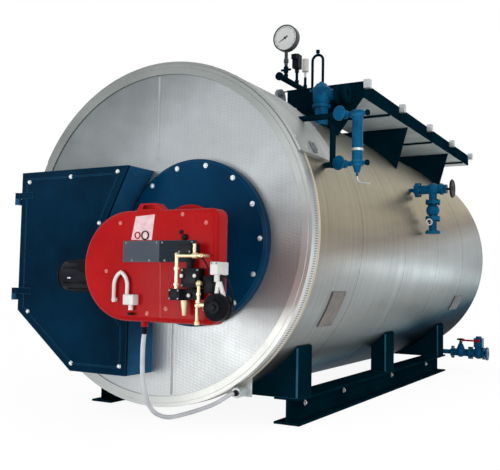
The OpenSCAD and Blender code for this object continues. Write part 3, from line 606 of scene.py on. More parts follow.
def makeFasteners(name, seats, finish, radius, height, sides=6, washer=1.5, dome=0.3, body="boiler"):
    # seats are pairs of a spot and the way its fastener faces
    base = bpy.data.meshes.new(name + "Base")
    base.from_pydata([spot for spot, facing in seats], [], [])
    facings = base.attributes.new("facing", "FLOAT_VECTOR", "POINT")
    for i, (spot, facing) in enumerate(seats):
        facings.data[i].vector = facing
    runTree(name, boltTree, {"Head radius": radius, "Head height": height, "Sides": sides, "Dome": dome,
                             "Washer radius": radius * washer, "Material": finish}, body, base)


def faceSeats(y, spots):
    # seats at one depth that face the front
    return [(at(x, y, z), forward) for x, z in spots]


def faceRing(x, y, z, radius, count, start):
    # front seats on a circle, the first one start degrees above its right side
    angles = [math.radians(start + 360 * k / count) for k in range(count)]
    return faceSeats(y, [(x + radius * math.cos(a), z + radius * math.sin(a)) for a in angles])


def boltRing(middle, axis, radius, count, start=0.5):
    # seats round a flange that faces along its axis
    tilt = axis.to_track_quat("Z", "Y").to_matrix()
    spots = [Vector((radius * math.cos(a), radius * math.sin(a), 0)) for a in turns(count, start)]
    return [(middle + tilt @ spot, axis) for spot in spots]


def onShell(degrees, y, radius=shellRadius):
    # a point on the shell and its outward direction, the angle taken from the right side upwards
    a = math.radians(degrees)
    return at(radius * math.cos(a), y, axisHeight + radius * math.sin(a)), Vector((math.cos(a), 0, math.sin(a)))


# bolts of the burner plate and the smoke box door
plate = dict(x=285, y=-60, z=1015, radius=427, count=14, start=2)
makeFasteners("plateBolts", faceRing(**plate), boltPale, radius=0.0095, height=0.007)
door = dict(y=-234.5, spots=[
    (-780, 1378), (-451, 1394), (-104, 1403), (-226, 1118), (-756, 603), (-402, 323), (-53, 330)])
makeFasteners("doorBolts", faceSeats(**door), boltPale, radius=0.0105, height=0.006,
              sides=18, washer=1.25, dome=0.55, body="door")
print("plate and door bolted")

# screws of the burner cover and its panels
coverFront = -700
# the seam's red is paler than the cover as a painted highlight along the raised lip
seamPaintedHighlight = enamel("seamPaintedHighlight", (0.46, 0.035, 0.03), (0.56, 0.07, 0.06), (0.70, 0.16, 0.14), 0.3, 0.2, 0.1, 0.001)
screwRed = enamel("screwRed", (0.60, 0.10, 0.08), (0.75, 0.20, 0.16), (0.85, 0.4, 0.35), 0.25, 0.5, 0.1, 0.001)
cover = dict(y=coverFront, spots=[
    (310, 1068), (233, 842), (480, 650), (584, 675), (664, 1100), (790, 1060), (790, 680)])
makeFasteners("coverScrews", faceSeats(**cover), screwRed, radius=0.0075, height=0.003, sides=16, washer=1.3, dome=0.5)
panel = dict(y=coverFront - 6, spots=[
    (389, 893), (489, 893), (575, 893), (352, 974), (528, 974), (559, 974), (722, 974)])
makeFasteners("panelScrews", faceSeats(**panel), boltDull, radius=0.0040, height=0.0015, sides=12, washer=1.3, dome=0.4)

# toothed strip round the front ring, and the warm strip along the ring's rear edge
teeth = {"Count": 470, "Ring radius": 0.9855, "Length": 0.0020, "Width": 0.0045, "Height": 0.030}
ringEdge = dict(teethY=52, y=82, sides=180, profile=[
    (0.9845, 0), (0.9868, 0.002), (0.9868, 0.016), (0.9845, 0.018), (0.9845, 0)])


def toothTree():
    tree, given = startTree("toothTree", ("Ring radius", "Length", "Width", "Height"), ("Count",))
    circle = node(tree, "GeometryNodeMeshCircle", Vertices=given["Count"], Radius=given["Ring radius"])
    block = node(tree, "GeometryNodeMeshCube", Size=vector(tree, given["Length"], given["Width"], given["Height"]))
    return endTree(tree, given, circle.outputs["Mesh"], block.outputs["Mesh"], Rotation=awayFromMiddle(tree))


def buildRingEdge(form):
    addTurned(form, at(0, ringEdge["y"], axisHeight), backward, ringEdge["profile"], ringEdge["sides"])


standUp = Matrix.Rotation(math.radians(90), 4, "X")  # from lying flat to facing the front
toothShade = castMetal("toothShade", (0.13, 0.14, 0.15), (0.24, 0.25, 0.26), 0.6, 0.5)
toothStrip = runTree("ringTeeth", toothTree(), {**teeth, "Material": toothShade})
toothStrip.data.transform(Matrix.Translation(at(0, ringEdge["teethY"], axisHeight)) @ standUp)
buildPiece("ringEdge", buildRingEdge, castMetal("ringBeige", (0.52, 0.43, 0.31), (0.66, 0.56, 0.42), 0.35, 0.5))
print("front ring toothed")

# seams of the cladding and of the front sheet
seams = dict(rounds=(757, 1620, 2480, 3340), start=-57, end=237, steps=120, width=0.014, high=0.0006, pitch=6)
faceSeams = dict(half=7, out=1.2, sunk=0.2, edge=0.0005, lines=((-5, 1500, 1990), (133, 165, 560)))


def buildSeams(form):
    reach, steps = seams["end"] - seams["start"], seams["steps"]
    for y in seams["rounds"]:
        spots, ways = zip(*(onShell(seams["start"] + reach * i / steps, y) for i in range(steps + 1)))
        addStrip(form, spots, backward, ways, seams["width"], seams["high"])


def buildFaceSeams(form):
    for x, low, high in faceSeams["lines"]:
        addBlock(form, at(x - faceSeams["half"], -faceSeams["out"], low),
                 at(x + faceSeams["half"], faceSeams["sunk"], high), faceSeams["edge"])


buildPiece("shellSeams", buildSeams, finishes["clad_sheet"])
seamSeats = [onShell(angle, y, shellRadius + 0.5) for y in seams["rounds"]
             for angle in range(seams["start"] + 3, seams["end"], seams["pitch"])]
makeFasteners("seamRivets", seamSeats, finishes["clad_sheet"], radius=0.0028, height=0.0006,
              sides=8, washer=1.1, dome=0.5)
buildPiece("faceSeams", buildFaceSeams, castMetal("seamPale", (0.30, 0.33, 0.325), (0.42, 0.45, 0.44), 0.6, 0.5))

# screws of the side covers and the hood, and the hood's latch
sideCovers = dict(rise=6, inset=14, sunk=0.9, plates=((420, 620, -32, -19), (3320, 3600, -30, -22)))
hood = dict(rise=26, edges=(22, 486), round=range(30, 150, 10), ends=(27, 150), along=(110, 210, 310, 410))
latch = dict(angle=28, y=209, rise=27, blocks=[
    ((-0.022, -0.034, 0), (0.022, 0.034, 0.008), 0.002), ((-0.010, -0.028, 0.006), (0.010, 0.020, 0.020), 0.004)])
coverSeats = []
for front, back, low, high in sideCovers["plates"]:
    front, back = front + sideCovers["inset"], back - sideCovers["inset"]
    edges = (low + sideCovers["sunk"], high - sideCovers["sunk"])
    spots = [(a, y) for y in (front, (front + back) / 2, back) for a in edges]
    spots += [((low + high) / 2, front), ((low + high) / 2, back)]
    coverSeats += [onShell(a, y, shellRadius + sideCovers["rise"]) for a, y in spots]
makeFasteners("sideCoverScrews", coverSeats, boltDull, radius=0.0045, height=0.002, sides=12, washer=1.3, dome=0.4)
hoodSpots = [(a, y) for a in hood["round"] for y in hood["edges"]]
hoodSpots += [(a, y) for a in hood["ends"] for y in hood["along"]]
makeFasteners("hoodScrews", [onShell(a, y, shellRadius + hood["rise"]) for a, y in hoodSpots], galvanised,
              radius=0.005, height=0.002, sides=12, washer=1.3, dome=0.4)


def buildLatch(form):
    spot, out = onShell(latch["angle"], latch["y"], shellRadius + latch["rise"])
    turn = Matrix.Translation(spot) @ out.to_track_quat("Z", "Y").to_matrix().to_4x4()
    for low, high, edge in latch["blocks"]:
        addBlock(form, Vector(low), Vector(high), edge, turn)


buildPiece("hoodLatch", buildLatch, boltDull)
print("cladding seamed and screwed")

# pressure gauge face: a plain scale without numbers, and a pointer
gauge = dict(x=300, y=1006, z=2488, radius=0.092, rim=0.0095, dialY=1011, hubY=1009.5, scaleDeep=0.0038, scaleTurn=-45)
needle = dict(deep=0.0030, turn=-150, thick=0.0012, hub=[(0.009, 0), (0.009, 0.002), (0.006, 0.004), (0, 0.0044)],
              outline=[(-0.022, -0.0040), (-0.022, 0.0040), (0.0, 0.0042), (0.058, 0.0007), (0.058, -0.0007),
                       (0.0, -0.0042)])
ticks = {"Count": 41, "Radius": gauge["radius"] - 0.018, "Sweep": math.radians(270), "Length": 0.007, "Width": 0.0016}


def tickTree():
    # scale lines along an arc, every fifth one longer
    tree, given = startTree("tickTree", ("Radius", "Sweep", "Length", "Width"), ("Count",))
    arc = node(tree, "GeometryNodeCurveArc", mode="RADIUS", Resolution=given["Count"], Radius=given["Radius"],
               **{"Sweep Angle": given["Sweep"]})
    points = node(tree, "GeometryNodeCurveToPoints", mode="EVALUATED", Curve=arc.outputs["Curve"])
    block = node(tree, "GeometryNodeMeshCube", Size=vector(tree, given["Length"], given["Width"], 0.0006))
    order = tree.nodes.new("GeometryNodeInputIndex").outputs[0]
    fifth = sums(tree, "COMPARE", sums(tree, "MODULO", order, 5.0), 0.0, 0.1)
    longer = vector(tree, timesPlus(tree, fifth, 0.9, 1.0), timesPlus(tree, fifth, 0.5, 1.0), 1.0)
    return endTree(tree, given, points.outputs["Points"], block.outputs["Mesh"],
                   Rotation=awayFromMiddle(tree), Scale=longer)


def onDial(deep, degrees):
    # stands a flat shape up in front of the case, moves it in and turns it round
    place = Matrix.Translation(at(gauge["x"], gauge["y"], gauge["z"])) @ standUp
    return place @ Matrix.Translation((0, 0, -deep)) @ Matrix.Rotation(math.radians(degrees), 4, "Z")


def buildDial(form):
    reach = gauge["radius"] - gauge["rim"]
    profile = [(0, 0.0006), (reach, 0.0006), (reach + 0.0003, 0.0)]
    addTurned(form, at(gauge["x"], gauge["dialY"], gauge["z"]), forward, profile, 64)


def buildNeedle(form):
    turn = onDial(needle["deep"], needle["turn"])
    faces = [[turn @ Vector((x, y, z)) for x, y in needle["outline"]] for z in (0, needle["thick"])]
    addSkin(form, [[form.verts.new(spot) for spot in face] for face in faces])
    addTurned(form, at(gauge["x"], gauge["hubY"], gauge["z"]), forward, needle["hub"], 24)


dialInk = moulded("dialInk", (0.010, 0.010, 0.012), (0.03, 0.03, 0.035), 0.4)
buildPiece("gaugeDial", buildDial, moulded("dialWhite", (0.78, 0.80, 0.80), (0.86, 0.88, 0.88), 0.3, 60, 0.02))
scale = runTree("gaugeScale", tickTree(), {**ticks, "Material": dialInk})
scale.data.transform(onDial(gauge["scaleDeep"], gauge["scaleTurn"]))
buildPiece("gaugeNeedle", buildNeedle, dialInk, smooth=False)
print("gauge dial drawn")

# fittings of the burner that are finer here than in the solids
conduit = dict(middle=335, half=39, bend=70, radius=0.009, y=-716, foot=706, spring=775, box=733)
junctionBox = dict(boxes=[((368, -738, 687), (62, 38, 48), 0.004), ((370, -740.5, 690), (58, 4, 42), 0.0015)],
                   rods=[((398, -716, 663), upward, 0.011, 0.026), ((296, -720, 708), backward, 0.011, 0.020)])


def buildJunctionBox(form):
    addForms(form, **junctionBox)
    left, right, bend = conduit["middle"] - conduit["half"], conduit["middle"] + conduit["half"], conduit["bend"]
    angles = [math.acos(1 - conduit["half"] / bend) * k / 8 for k in range(9)]
    arc = [(right - bend + bend * math.cos(a), conduit["spring"] + bend * math.sin(a)) for a in angles]
    back = [(2 * conduit["middle"] - x, z) for x, z in reversed(arc[:-1])]
    path = [(right, conduit["box"])] + arc + back + [(left, conduit["foot"])]
    addTube(form, [at(x, conduit["y"], z) for x, z in path], conduit["radius"], backward)


standIn("junctionBox", buildJunctionBox, whitePlastic, "junction_box")

valveBlock = dict(
    boxes=[((692, -770, 922), (68, 70, 44)), ((694, -746, 774), (92, 46, 84)), ((643, -766, 717), (58, 66, 50)),
           ((700, -738, 721), (86, 38, 46)), ((704, -752, 786), (72, 8, 60)), ((652, -770, 726), (40, 6, 32))],
    rods=[((728, -726, 856), upward, 0.015, 0.044), ((728, -726, 870), upward, 0.019, 0.014, 6),
          ((745, -722, 764), upward, 0.016, 0.012), ((708, -758, 824), backward, 0.0105, 0.014),
          ((774, -758, 824), backward, 0.0105, 0.014), ((739, -748, 739), backward, 0.0105, 0.014)])
standIn("valveBlock", lambda form: addForms(form, **valveBlock), finishes["black_plastic"],
        "valve_block")

fuelPipes = dict(
    rods=[((679, -758, 767), upward, 0.009, 0.149), ((770, -758, 912), upward, 0.008, 0.052),
          ((778, -738, 612), upward, 0.012, 0.016), ((797, -758, 696), upward, 0.008, 0.108),
          ((778, -738, 620), upward, 0.008, 0.101), ((679, -758, 912), rightward, 0.009, 0.126),
          ((762, -758, 912), rightward, 0.013, 0.024), ((797, -758, 700), rightward, 0.009, 0.034),
          ((805, -758, 912), backward, 0.0085, 0.060), ((797, -758, 792), backward, 0.0085, 0.060),
          ((679, -758, 850), upward, 0.0125, 0.012, 6), ((797, -758, 740), upward, 0.0115, 0.012, 6),
          ((778, -738, 690), upward, 0.0115, 0.012, 6), ((679, -758, 780), upward, 0.0125, 0.012, 6)],
    balls=[((679, -758, 916), 0.011), ((797, -758, 792), 0.014), ((797, -758, 700), 0.012)],
    turned=[((708, -734, 651), upward, [(0, 0), (0.009, 0), (0.018, 0.066), (0, 0.066)], 24)])
standIn("fuelPipes", lambda form: addForms(form, **fuelPipes), finishes["brass_pipe"],
        "fuel_pipes")

pump = dict(x=885, y=-770, z=692, radius=0.060, deep=0.068, boxes=[
    ((807, -744, 750), (50, 44, 76), 0.004), ((846, -704, 690), (22, 50, 136), 0.004)])


def buildFuelPump(form):
    radius, deep, face = pump["radius"], pump["deep"], (pump["x"], pump["y"], pump["z"])
    body = [(0, 0), (radius - 0.010, 0), (radius - 0.002, 0.004), (radius, 0.010), (radius, deep * 0.45),
            (radius - 0.004, deep * 0.48), (radius - 0.004, deep * 0.58), (radius, deep * 0.61), (radius, deep - 0.002),
            (radius - 0.002, deep), (0, deep)]
    hub = [(0, 0), (0.030, 0), (0.030, 0.005), (0.026, 0.008), (0.014, 0.009), (0.012, 0.018), (0, 0.019)]
    addForms(form, boxes=pump["boxes"], turned=[(face, backward, body, 48), (face, forward, hub, 32)])


standIn("fuelPump", buildFuelPump, knobDark, "fuel_pump")

airServo = dict(boxes=[((852, -760, 830), (40, 90, 56), 0.005)], rods=[((876, -740, 800), upward, 0.012, 0.032)])
servoFork = dict(front=-746, thick=12, outline=[
    (866, 738), (882, 738), (889, 778), (893, 778), (904, 738), (920, 738), (898, 802), (876, 802)])


def buildAirServo(form):
    addForms(form, **airServo)
    addPanel(form, **servoFork)


standIn("airServo", buildAirServo, whitePlastic, "air_servo")

# water column: a closed tube between two cocks, each with a disc that faces the front
column = dict(x=1091, y=343, low=1463, high=1739, pipe=945, radius=0.030, discAxis=Vector((-0.292, -0.956, 0)), disc=[
    (0, 0), (0.008, 0), (0.008, 0.046), (0.036, 0.046), (0.041, 0.050), (0.041, 0.055), (0.036, 0.058), (0, 0.058)])


def buildWaterColumn(form):
    x, y, pipe, radius = (column[k] for k in ("x", "y", "pipe", "radius"))
    top = (column["high"] - column["low"] + 46) / 1000
    arc = [(radius * math.cos(a), top + radius * math.sin(a)) for a in (math.pi / 2 * k / 8 for k in range(8))]
    tube = [(0, 0), (0.012, 0), (0.016, 0.004), (radius, 0.058)] + arc + [(0, top + radius)]
    addTurned(form, at(x, y, column["low"] - 52), upward, tube)
    addRod(form, (x, y, column["low"] - 72), upward, 0.007, 0.024)
    for z in (column["low"], column["high"]):
        hub = (pipe + 72, y, z)
        addForms(form, balls=[(hub, 0.024)], turned=[(hub, column["discAxis"], column["disc"], 32)], rods=[
            ((pipe + 36, y, z), rightward, 0.014, 0.110), ((x, y, z), rightward, 0.011, 0.051),
            ((pipe + 34, y, z), rightward, 0.030, 0.012),
            ((x, y, z + 10), upward, 0.033, 0.006), ((x, y, z - 14), upward, 0.034, 0.006)])


standIn("waterColumn", buildWaterColumn, finishes["blue_paint"], "water_column")

# safety valve, and the tall bow that holds its spring, with a knob
safety = dict(x=583, y=1000, z=2028, profile=[
    (0, -0.178), (0.044, -0.178), (0.044, -0.064), (0.062, -0.062), (0.062, -0.044), (0.048, -0.042), (0.058, -0.022),
    (0.058, 0.052), (0.062, 0.056), (0.062, 0.068), (0.050, 0.076), (0.034, 0.098), (0.016, 0.104), (0.016, 0.112),
    (0, 0.113)])
bow = dict(x=553, y=1000, half=38, low=2090, top=2328, radius=0.009)


def buildSafetyValve(form):
    x, y, z = safety["x"], safety["y"], safety["z"]
    addForms(form, turned=[((x, y, z), upward, safety["profile"], 40)],
             rods=[((x, y, z + 20), rightward, 0.036, 0.108)], boxes=[((500, 984, z + 50), (106, 32, 18), 0.004)])


def buildSafetyBow(form):
    x, y, half, top = bow["x"], bow["y"], bow["half"], bow["top"]
    spring = top - half
    arch = [(half * math.cos(a), spring + half * math.sin(a)) for a in (math.pi * k / 16 for k in range(1, 16))]
    path = [(half, bow["low"]), (half, spring)] + arch + [(-half, spring), (-half, bow["low"])]
    addTube(form, [at(x + out, y, z) for out, z in path], bow["radius"], backward)
    addForms(form, rods=[((x, y, top), upward, 0.008, 0.016), ((x, y, top + 14), upward, 0.013, 0.020)])


standIn("safetyValve", buildSafetyValve, finishes["blue_paint"], "safety_valve")
safetyBow = buildPiece("safetyBow", buildSafetyBow, darkPaint)
print("finer forms made")

# bare label with two plain rings, seam, knobs and plugs of the burner cover
label = dict(outline=[(401, 1097), (510, 1104), (496, 986), (377, 988)], front=coverFront - 1.4, thick=1.6, edge=0.6)
coverRings = dict(y=coverFront - 1.2, wall=0.0055, cut=0.0012, low=0.003, high=0.0045, rings=[
    ("coverRingRed", 415, 1009, 0.017, finishes["red_paint"]), ("coverRingDark", 459, 1008, 0.022, knobDark)])
coverSeam = dict(low=(556, 634), high=(548, 881), steps=8, width=0.004, rise=0.0016)
knobs = dict(spots=[(706, -758, 824), (774, -758, 825), (739, -748, 739)],
             profile=[(0, 0), (0.0085, 0), (0.0085, 0.004), (0.006, 0.007), (0, 0.008)])
plugs = [((660, -700, 1020), forward, 0.010, 0.006), ((682, -700, 996), forward, 0.014, 0.016),
         ((398, -716, 652), downward, 0.015, 0.012)]
labelPale = enamel("labelPale", (0.72, 0.45, 0.48), (0.84, 0.66, 0.68), (0.86, 0.80, 0.80), 0.35, 0.3, 0.05, 0.001, 30)
buildPiece("coverLabel", lambda form: addPanel(form, **label), labelPale, smooth=False)


def buildRing(x, z, out):
    inner, cut, low, high = out - coverRings["wall"], coverRings["cut"], coverRings["low"], coverRings["high"]
    profile = [(inner, 0), (out, 0), (out, low), (out - cut, high), (inner + cut, high), (inner, low), (inner, 0)]
    return lambda form: addTurned(form, at(x, coverRings["y"], z), forward, profile)


for name, x, z, out, finish in coverRings["rings"]:
    buildPiece(name, buildRing(x, z, out), finish)


def buildCoverSeam(form):
    high, low = Vector(coverSeam["high"]), Vector(coverSeam["low"])
    path = [high.lerp(low, k / coverSeam["steps"]) for k in range(coverSeam["steps"] + 1)]
    addStrip(form, [at(spot.x, coverFront, spot.y) for spot in path], rightward, [forward] * len(path),
             coverSeam["width"], coverSeam["rise"])


def buildKnobs(form):
    addForms(form, turned=[(spot, forward, knobs["profile"], 20) for spot in knobs["spots"]])


def buildCoverPlugs(form):
    # the dark grommet and knob above the right panel, and the one under the junction box
    for spot, axis, radius, high in plugs:
        profile = [(0, 0), (radius, 0), (radius, high * 0.7), (radius * 0.8, high), (0, high)]
        addTurned(form, at(*spot), axis, profile, 20)


buildPiece("coverSeam", buildCoverSeam, seamPaintedHighlight)
buildPiece("valveKnobs", buildKnobs, whitePlastic)
buildPiece("coverPlugs", buildCoverPlugs, knobDark)

# motor: domed fan cowl on its free end, a terminal box and a small pale strip as a painted highlight
motor = dict(end=(-205, -490, 820), box=((-60, -585, 842), (90, 45, 46), 0.004),
             strip=((-136, -571.5, 803), (24, 2.5, 7), 0.0008),
             cowl=[(0.070, -0.006), (0.079, 0.000), (0.074, 0.006), (0.052, 0.011), (0.030, 0.013), (0, 0.014)])


def buildMotorEnd(form):
    addForms(form, turned=[(motor["end"], -rightward, motor["cowl"], 40)], boxes=[motor["box"]])


buildPiece("motorEnd", buildMotorEnd, knobDark)
buildPiece("motorHighlightStrip", lambda form: addBox(form, *motor["strip"]), galvanised)

# small cap screws on the valve block and the pump, bolts of the burner's neck, and the thin wires
blockScrews = {-746: [(700, 850), (780, 850), (700, 782), (780, 782)],
               -766: [(650, 760), (694, 760), (650, 724), (694, 724)],
               -770: [(699, 929), (753, 929)], -760: [(860, 879), (884, 879)]}
pumpScrews = dict(x=pump["x"], y=pump["y"], z=pump["z"], radius=44, count=6, start=30)
neckBolts = dict(x=285, y=-94, z=1015, radius=170, count=8, start=22.5)
harness = dict(radius=0.0035, steps=6, routes={
    "harnessUpper": [(752, -744, 912), (800, -752, 905), (838, -758, 868), (858, -752, 800), (866, -742, 768),
                     (868, -735, 752)],
    "harnessLower": [(890, -735, 830), (925, -735, 815), (945, -730, 760), (946, -722, 715), (930, -715, 690)]})
blockSeats = [seat for y, spots in blockScrews.items() for seat in faceSeats(y, spots)]
makeFasteners("blockScrews", blockSeats, boltDull, radius=0.0040, height=0.003, washer=1.2, dome=0.2)
makeFasteners("pumpScrews", faceRing(**pumpScrews), knobDark, radius=0.0040, height=0.003, washer=1.2, dome=0.2)
makeFasteners("neckBolts", faceRing(**neckBolts), galvanised, radius=0.008, height=0.007)
for name, route in harness["routes"].items():
    tubeCurve(name, smoothRoute([at(*p) for p in route], harness["steps"]), harness["radius"], knobDark)
print("burner fitted out")

# stands: pale strips on the front edges of the posts as a painted highlight, and a weld bead along the foot of each
# saddle plate
stand = dict(fronts=(338, 1849, 3317), left=741.5, right=753.5, low=158, high=436, out=1.6, sunk=1, edge=0.0008)
welds = dict(feet=((345, 598), (1856, 640), (3324, 598)), outer=750, steps=30, out=1, wave=0.8, z=152.5, wide=0.006,
             high=0.005)
railBolts = dict(x=679.2, z=94, along=(598, 1210, 2210, 3180))
paintedHighlightBlue = enamel("paintedHighlightBlue", (0.025, 0.12, 0.21), (0.045, 0.19, 0.32), (0.08, 0.28, 0.42), 0.35, 0.02, 0.1, 0.002, 10)


def buildPaintedPostHighlights(form):
    for y in stand["fronts"]:
        for left, right in ((stand["left"], stand["right"]), (-stand["right"], -stand["left"])):
            addBlock(form, at(left, y - stand["out"], stand["low"]),
                     at(right, y + stand["sunk"], stand["high"]), stand["edge"])


def buildFootWelds(form):
    for y, inner in welds["feet"]:
        step = (welds["outer"] - inner) / welds["steps"]
        for side in (1, -1):
            path = [at(side * (inner + step * k), y - welds["out"] - welds["wave"] * (k % 2), welds["z"])
                    for k in range(welds["steps"] + 1)]
            addStrip(form, path, forward, [upward] * len(path), welds["wide"], welds["high"])


buildPiece("paintedPostHighlights", buildPaintedPostHighlights, paintedHighlightBlue)
railSeats = [(at(side * railBolts["x"], y, railBolts["z"]), rightward * side)
             for side in (1, -1) for y in railBolts["along"]]
makeFasteners("railBolts", railSeats, galvanised, radius=0.011, height=0.009)
buildPiece("footWelds", buildFootWelds, finishes["navy_paint"])
print("stands finished")

# flange bolts of the valves, one ring for each flange: (x, way) along the drain, (z, way) up the feed set
feedSet = dict(x=1040, y=2072, z=1528, ring=0.045, count=6, inlet=1210,
               pipe=((942.3, 1), (908.3, -1)), body=((1444, 1), (1418, -1), (1318, 1), (1292, -1)))
drainSet = dict(y=3600, z=180, ring=0.048, count=6, faces=((813, -1), (827, 1), (969, -1), (999, 1), (1098, -1)))
outlet = dict(spot=(772, 1000, 2046), ring=0.044, count=4)
flangeSeats = boltRing(at(feedSet["x"], feedSet["y"], feedSet["inlet"]), upward, feedSet["ring"], 4)
for x, way in feedSet["pipe"]:
    flangeSeats += boltRing(at(x, feedSet["y"], feedSet["z"]), rightward * way, feedSet["ring"], feedSet["count"])
for z, way in feedSet["body"]:
    flangeSeats += boltRing(at(feedSet["x"], feedSet["y"], z), upward * way, feedSet["ring"], feedSet["count"])
for x, way in drainSet["faces"]:
    flangeSeats += boltRing(at(x, drainSet["y"], drainSet["z"]), rightward * way, drainSet["ring"], drainSet["count"])
makeFasteners("flangeBolts", flangeSeats, darkPaint, radius=0.0065, height=0.007, washer=1.3)
outletSeats = boltRing(at(*outlet["spot"]), rightward, outlet["ring"], outlet["count"])
makeFasteners("outletBolts", outletSeats, darkPaint, radius=0.0060, height=0.005)

# band, caps and bent drain of the water column
columnBand = dict(z=1530, profile=[(0.029, 0), (0.0325, 0.002), (0.0325, 0.014), (0.029, 0.016), (0.029, 0)])
columnCap = dict(out=51, profile=[
    (0, -0.002), (0.015, -0.002), (0.017, 0.002), (0.017, 0.012), (0.013, 0.017), (0, 0.018)])
columnDrain = dict(radius=0.0042, steps=6, route=[
    (1091, 343, 1394), (1091, 343, 1382), (1094, 343, 1368), (1106, 343, 1357), (1126, 343, 1352), (1150, 343, 1349),
    (1166, 343, 1348)])


def buildColumnBand(form):
    addTurned(form, at(column["x"], column["y"], columnBand["z"]), upward, columnBand["profile"])


def buildColumnCaps(form):
    for z in (column["low"], column["high"]):
        addTurned(form, at(column["x"] + columnCap["out"], column["y"], z), rightward, columnCap["profile"], 6)


buildPiece("columnBand", buildColumnBand, galvanised)
buildPiece("columnCaps", buildColumnCaps, darkPaint, smooth=False)
tubeCurve("columnDrain", smoothRoute([at(*p) for p in columnDrain["route"]], columnDrain["steps"]),
          columnDrain["radius"], galvanised)

# pale hoop on the feed pipe's lower valve, open towards the front, and the closed web of the feed wheel
feedRing = dict(spot=(1028, 2012, 1276), stem=(1036, 2034, 1276), facing=Vector((0.45, -0.89, 0)),
                radius=0.021, wall=0.0052, stub=[(0, -0.004), (0.007, -0.004), (0.007, 0.006), (0, 0.006)])
wheelWeb = dict(spot=(1186, 2072, 1528), profile=[
    (0, -0.004), (0.062, -0.004), (0.062, 0.004), (0.016, 0.007), (0, 0.007)])


def buildFeedRing(form):
    out, wall = feedRing["radius"], feedRing["wall"]
    hoop = [(out + wall * math.cos(a), wall * math.sin(a)) for a in turns(12) + [2 * math.pi]]
    addTurned(form, at(*feedRing["spot"]), feedRing["facing"], hoop)
    addTurned(form, at(*feedRing["stem"]), feedRing["facing"], feedRing["stub"], 16)


def buildWheelDisc(form):
    addTurned(form, at(*wheelWeb["spot"]), rightward, wheelWeb["profile"], 40)


buildPiece("feedRing", buildFeedRing, whitePlastic)
buildPiece("feedWheelDisc", buildWheelDisc, knobDark, "feed_wheel")
print("valves fitted out")

# walkway: pressed treads and edge lips
deck = dict(left=352, right=838, front=1118, back=4098, z=2036, margin=0.04)
treads = {"Across": 9, "Along": 49, "Long": 0.017,
          "Width": (deck["right"] - deck["left"]) / 1000 - deck["margin"],
          "Depth": (deck["back"] - deck["front"]) / 1000 - deck["margin"]}
lips = [((832, 1103, 2124), (18, 3007, 5.5), 0.001), ((278, 1095, 2136), (572, 16, 5), 0.001),
        ((228, 1098, 2131), (72, 12, 8), 0.003)]


def treadTree():
    # low lozenges on a grid, turned one way and the other by turns
    tree, given = startTree("treadTree", ("Width", "Depth", "Long"), ("Across", "Along"))
    grid = node(tree, "GeometryNodeMeshGrid", **{"Size X": given["Width"], "Size Y": given["Depth"],
                                                 "Vertices X": given["Across"], "Vertices Y": given["Along"]})
    bead = node(tree, "GeometryNodeMeshUVSphere", Segments=8, Rings=6, Radius=given["Long"])
    flat = node(tree, "GeometryNodeTransform", Geometry=bead.outputs["Mesh"], Scale=(1.0, 0.28, 0.12))
    odd = sums(tree, "MODULO", tree.nodes.new("GeometryNodeInputIndex").outputs[0], 2.0)
    spin = vector(tree, z=timesPlus(tree, odd, math.pi / 2, math.pi / 4))
    return endTree(tree, given, grid.outputs["Mesh"], flat.outputs[0], Rotation=spin)


deckTreads = runTree("deckTreads", treadTree(), {**treads, "Material": galvanised})
deckMiddle = at((deck["left"] + deck["right"]) / 2, (deck["front"] + deck["back"]) / 2, deck["z"])
deckTreads.data.transform(Matrix.Translation(deckMiddle))
buildPiece("walkwayLips", lambda form: addForms(form, boxes=lips), darkPaint)
print("walkway treaded")

# back: bolts of the rear box, flue flange, soot behind the flue and the cleaning cover
rear = dict(y=4380, shell=4200, ring=0.668, count=24)
flue = dict(y=4526, z=1306, ring=0.228, count=12, profile=[
    (0.2085, 0), (0.246, 0), (0.246, 0.010), (0.244, 0.012), (0.2085, 0.012), (0.2085, 0)])
soot = [(0, 0), (0.600, 0), (0.600, 0.002), (0.598, 0.003), (0, 0.003)]
rearDoor = dict(outline=[(-230, 640), (230, 640), (230, 1020), (-230, 1020)], thick=14, edge=3,
                boltsX=(-200, 0, 200), boltsZ=(668, 992),
                boxes=[((-262, rear["y"], 690), (40, 24, 60), 0.004), ((-262, rear["y"], 910), (40, 24, 60), 0.004),
                       ((188, rear["y"] + 12, 800), (18, 34, 60), 0.006)])
makeFasteners("rearBolts", boltRing(at(0, rear["y"], axisHeight), backward, rear["ring"], rear["count"]), galvanised,
              radius=0.011, height=0.009)


def buildFlueFlange(form):
    addTurned(form, at(0, flue["y"], flue["z"]), backward, flue["profile"], 64)


def buildRearSoot(form):
    addTurned(form, at(0, rear["shell"] + 1, axisHeight), backward, soot, 64)


def buildRearDoor(form):
    # thickness and edge run the other way round, so that the bevel faces the rear
    addPanel(form, rearDoor["outline"], rear["y"] + rearDoor["thick"], -rearDoor["thick"], -rearDoor["edge"])
    addForms(form, boxes=rearDoor["boxes"])


# black for the soot, and in the tube mouths also painted shade of the tubes' depth
sootAndShadeBlack = moulded("sootAndShadeBlack", (0.003, 0.003, 0.003), (0.010, 0.009, 0.008), 0.8, 60, 0.3)
buildPiece("flueFlange", buildFlueFlange, darkPaint)
flueSeats = boltRing(at(0, flue["y"] + 12, flue["z"]), backward, flue["ring"], flue["count"])
makeFasteners("flueBolts", flueSeats, galvanised, radius=0.007, height=0.005)
buildPiece("rearSoot", buildRearSoot, sootAndShadeBlack)
buildPiece("rearDoor", buildRearDoor, darkPaint)
rearDoorSeats = [(at(x, rear["y"] + rearDoor["thick"], z), backward)
                 for x in rearDoor["boltsX"] for z in rearDoor["boltsZ"]]
makeFasteners("rearDoorBolts", rearDoorSeats, galvanised, radius=0.009, height=0.008)
print("back fitted out")

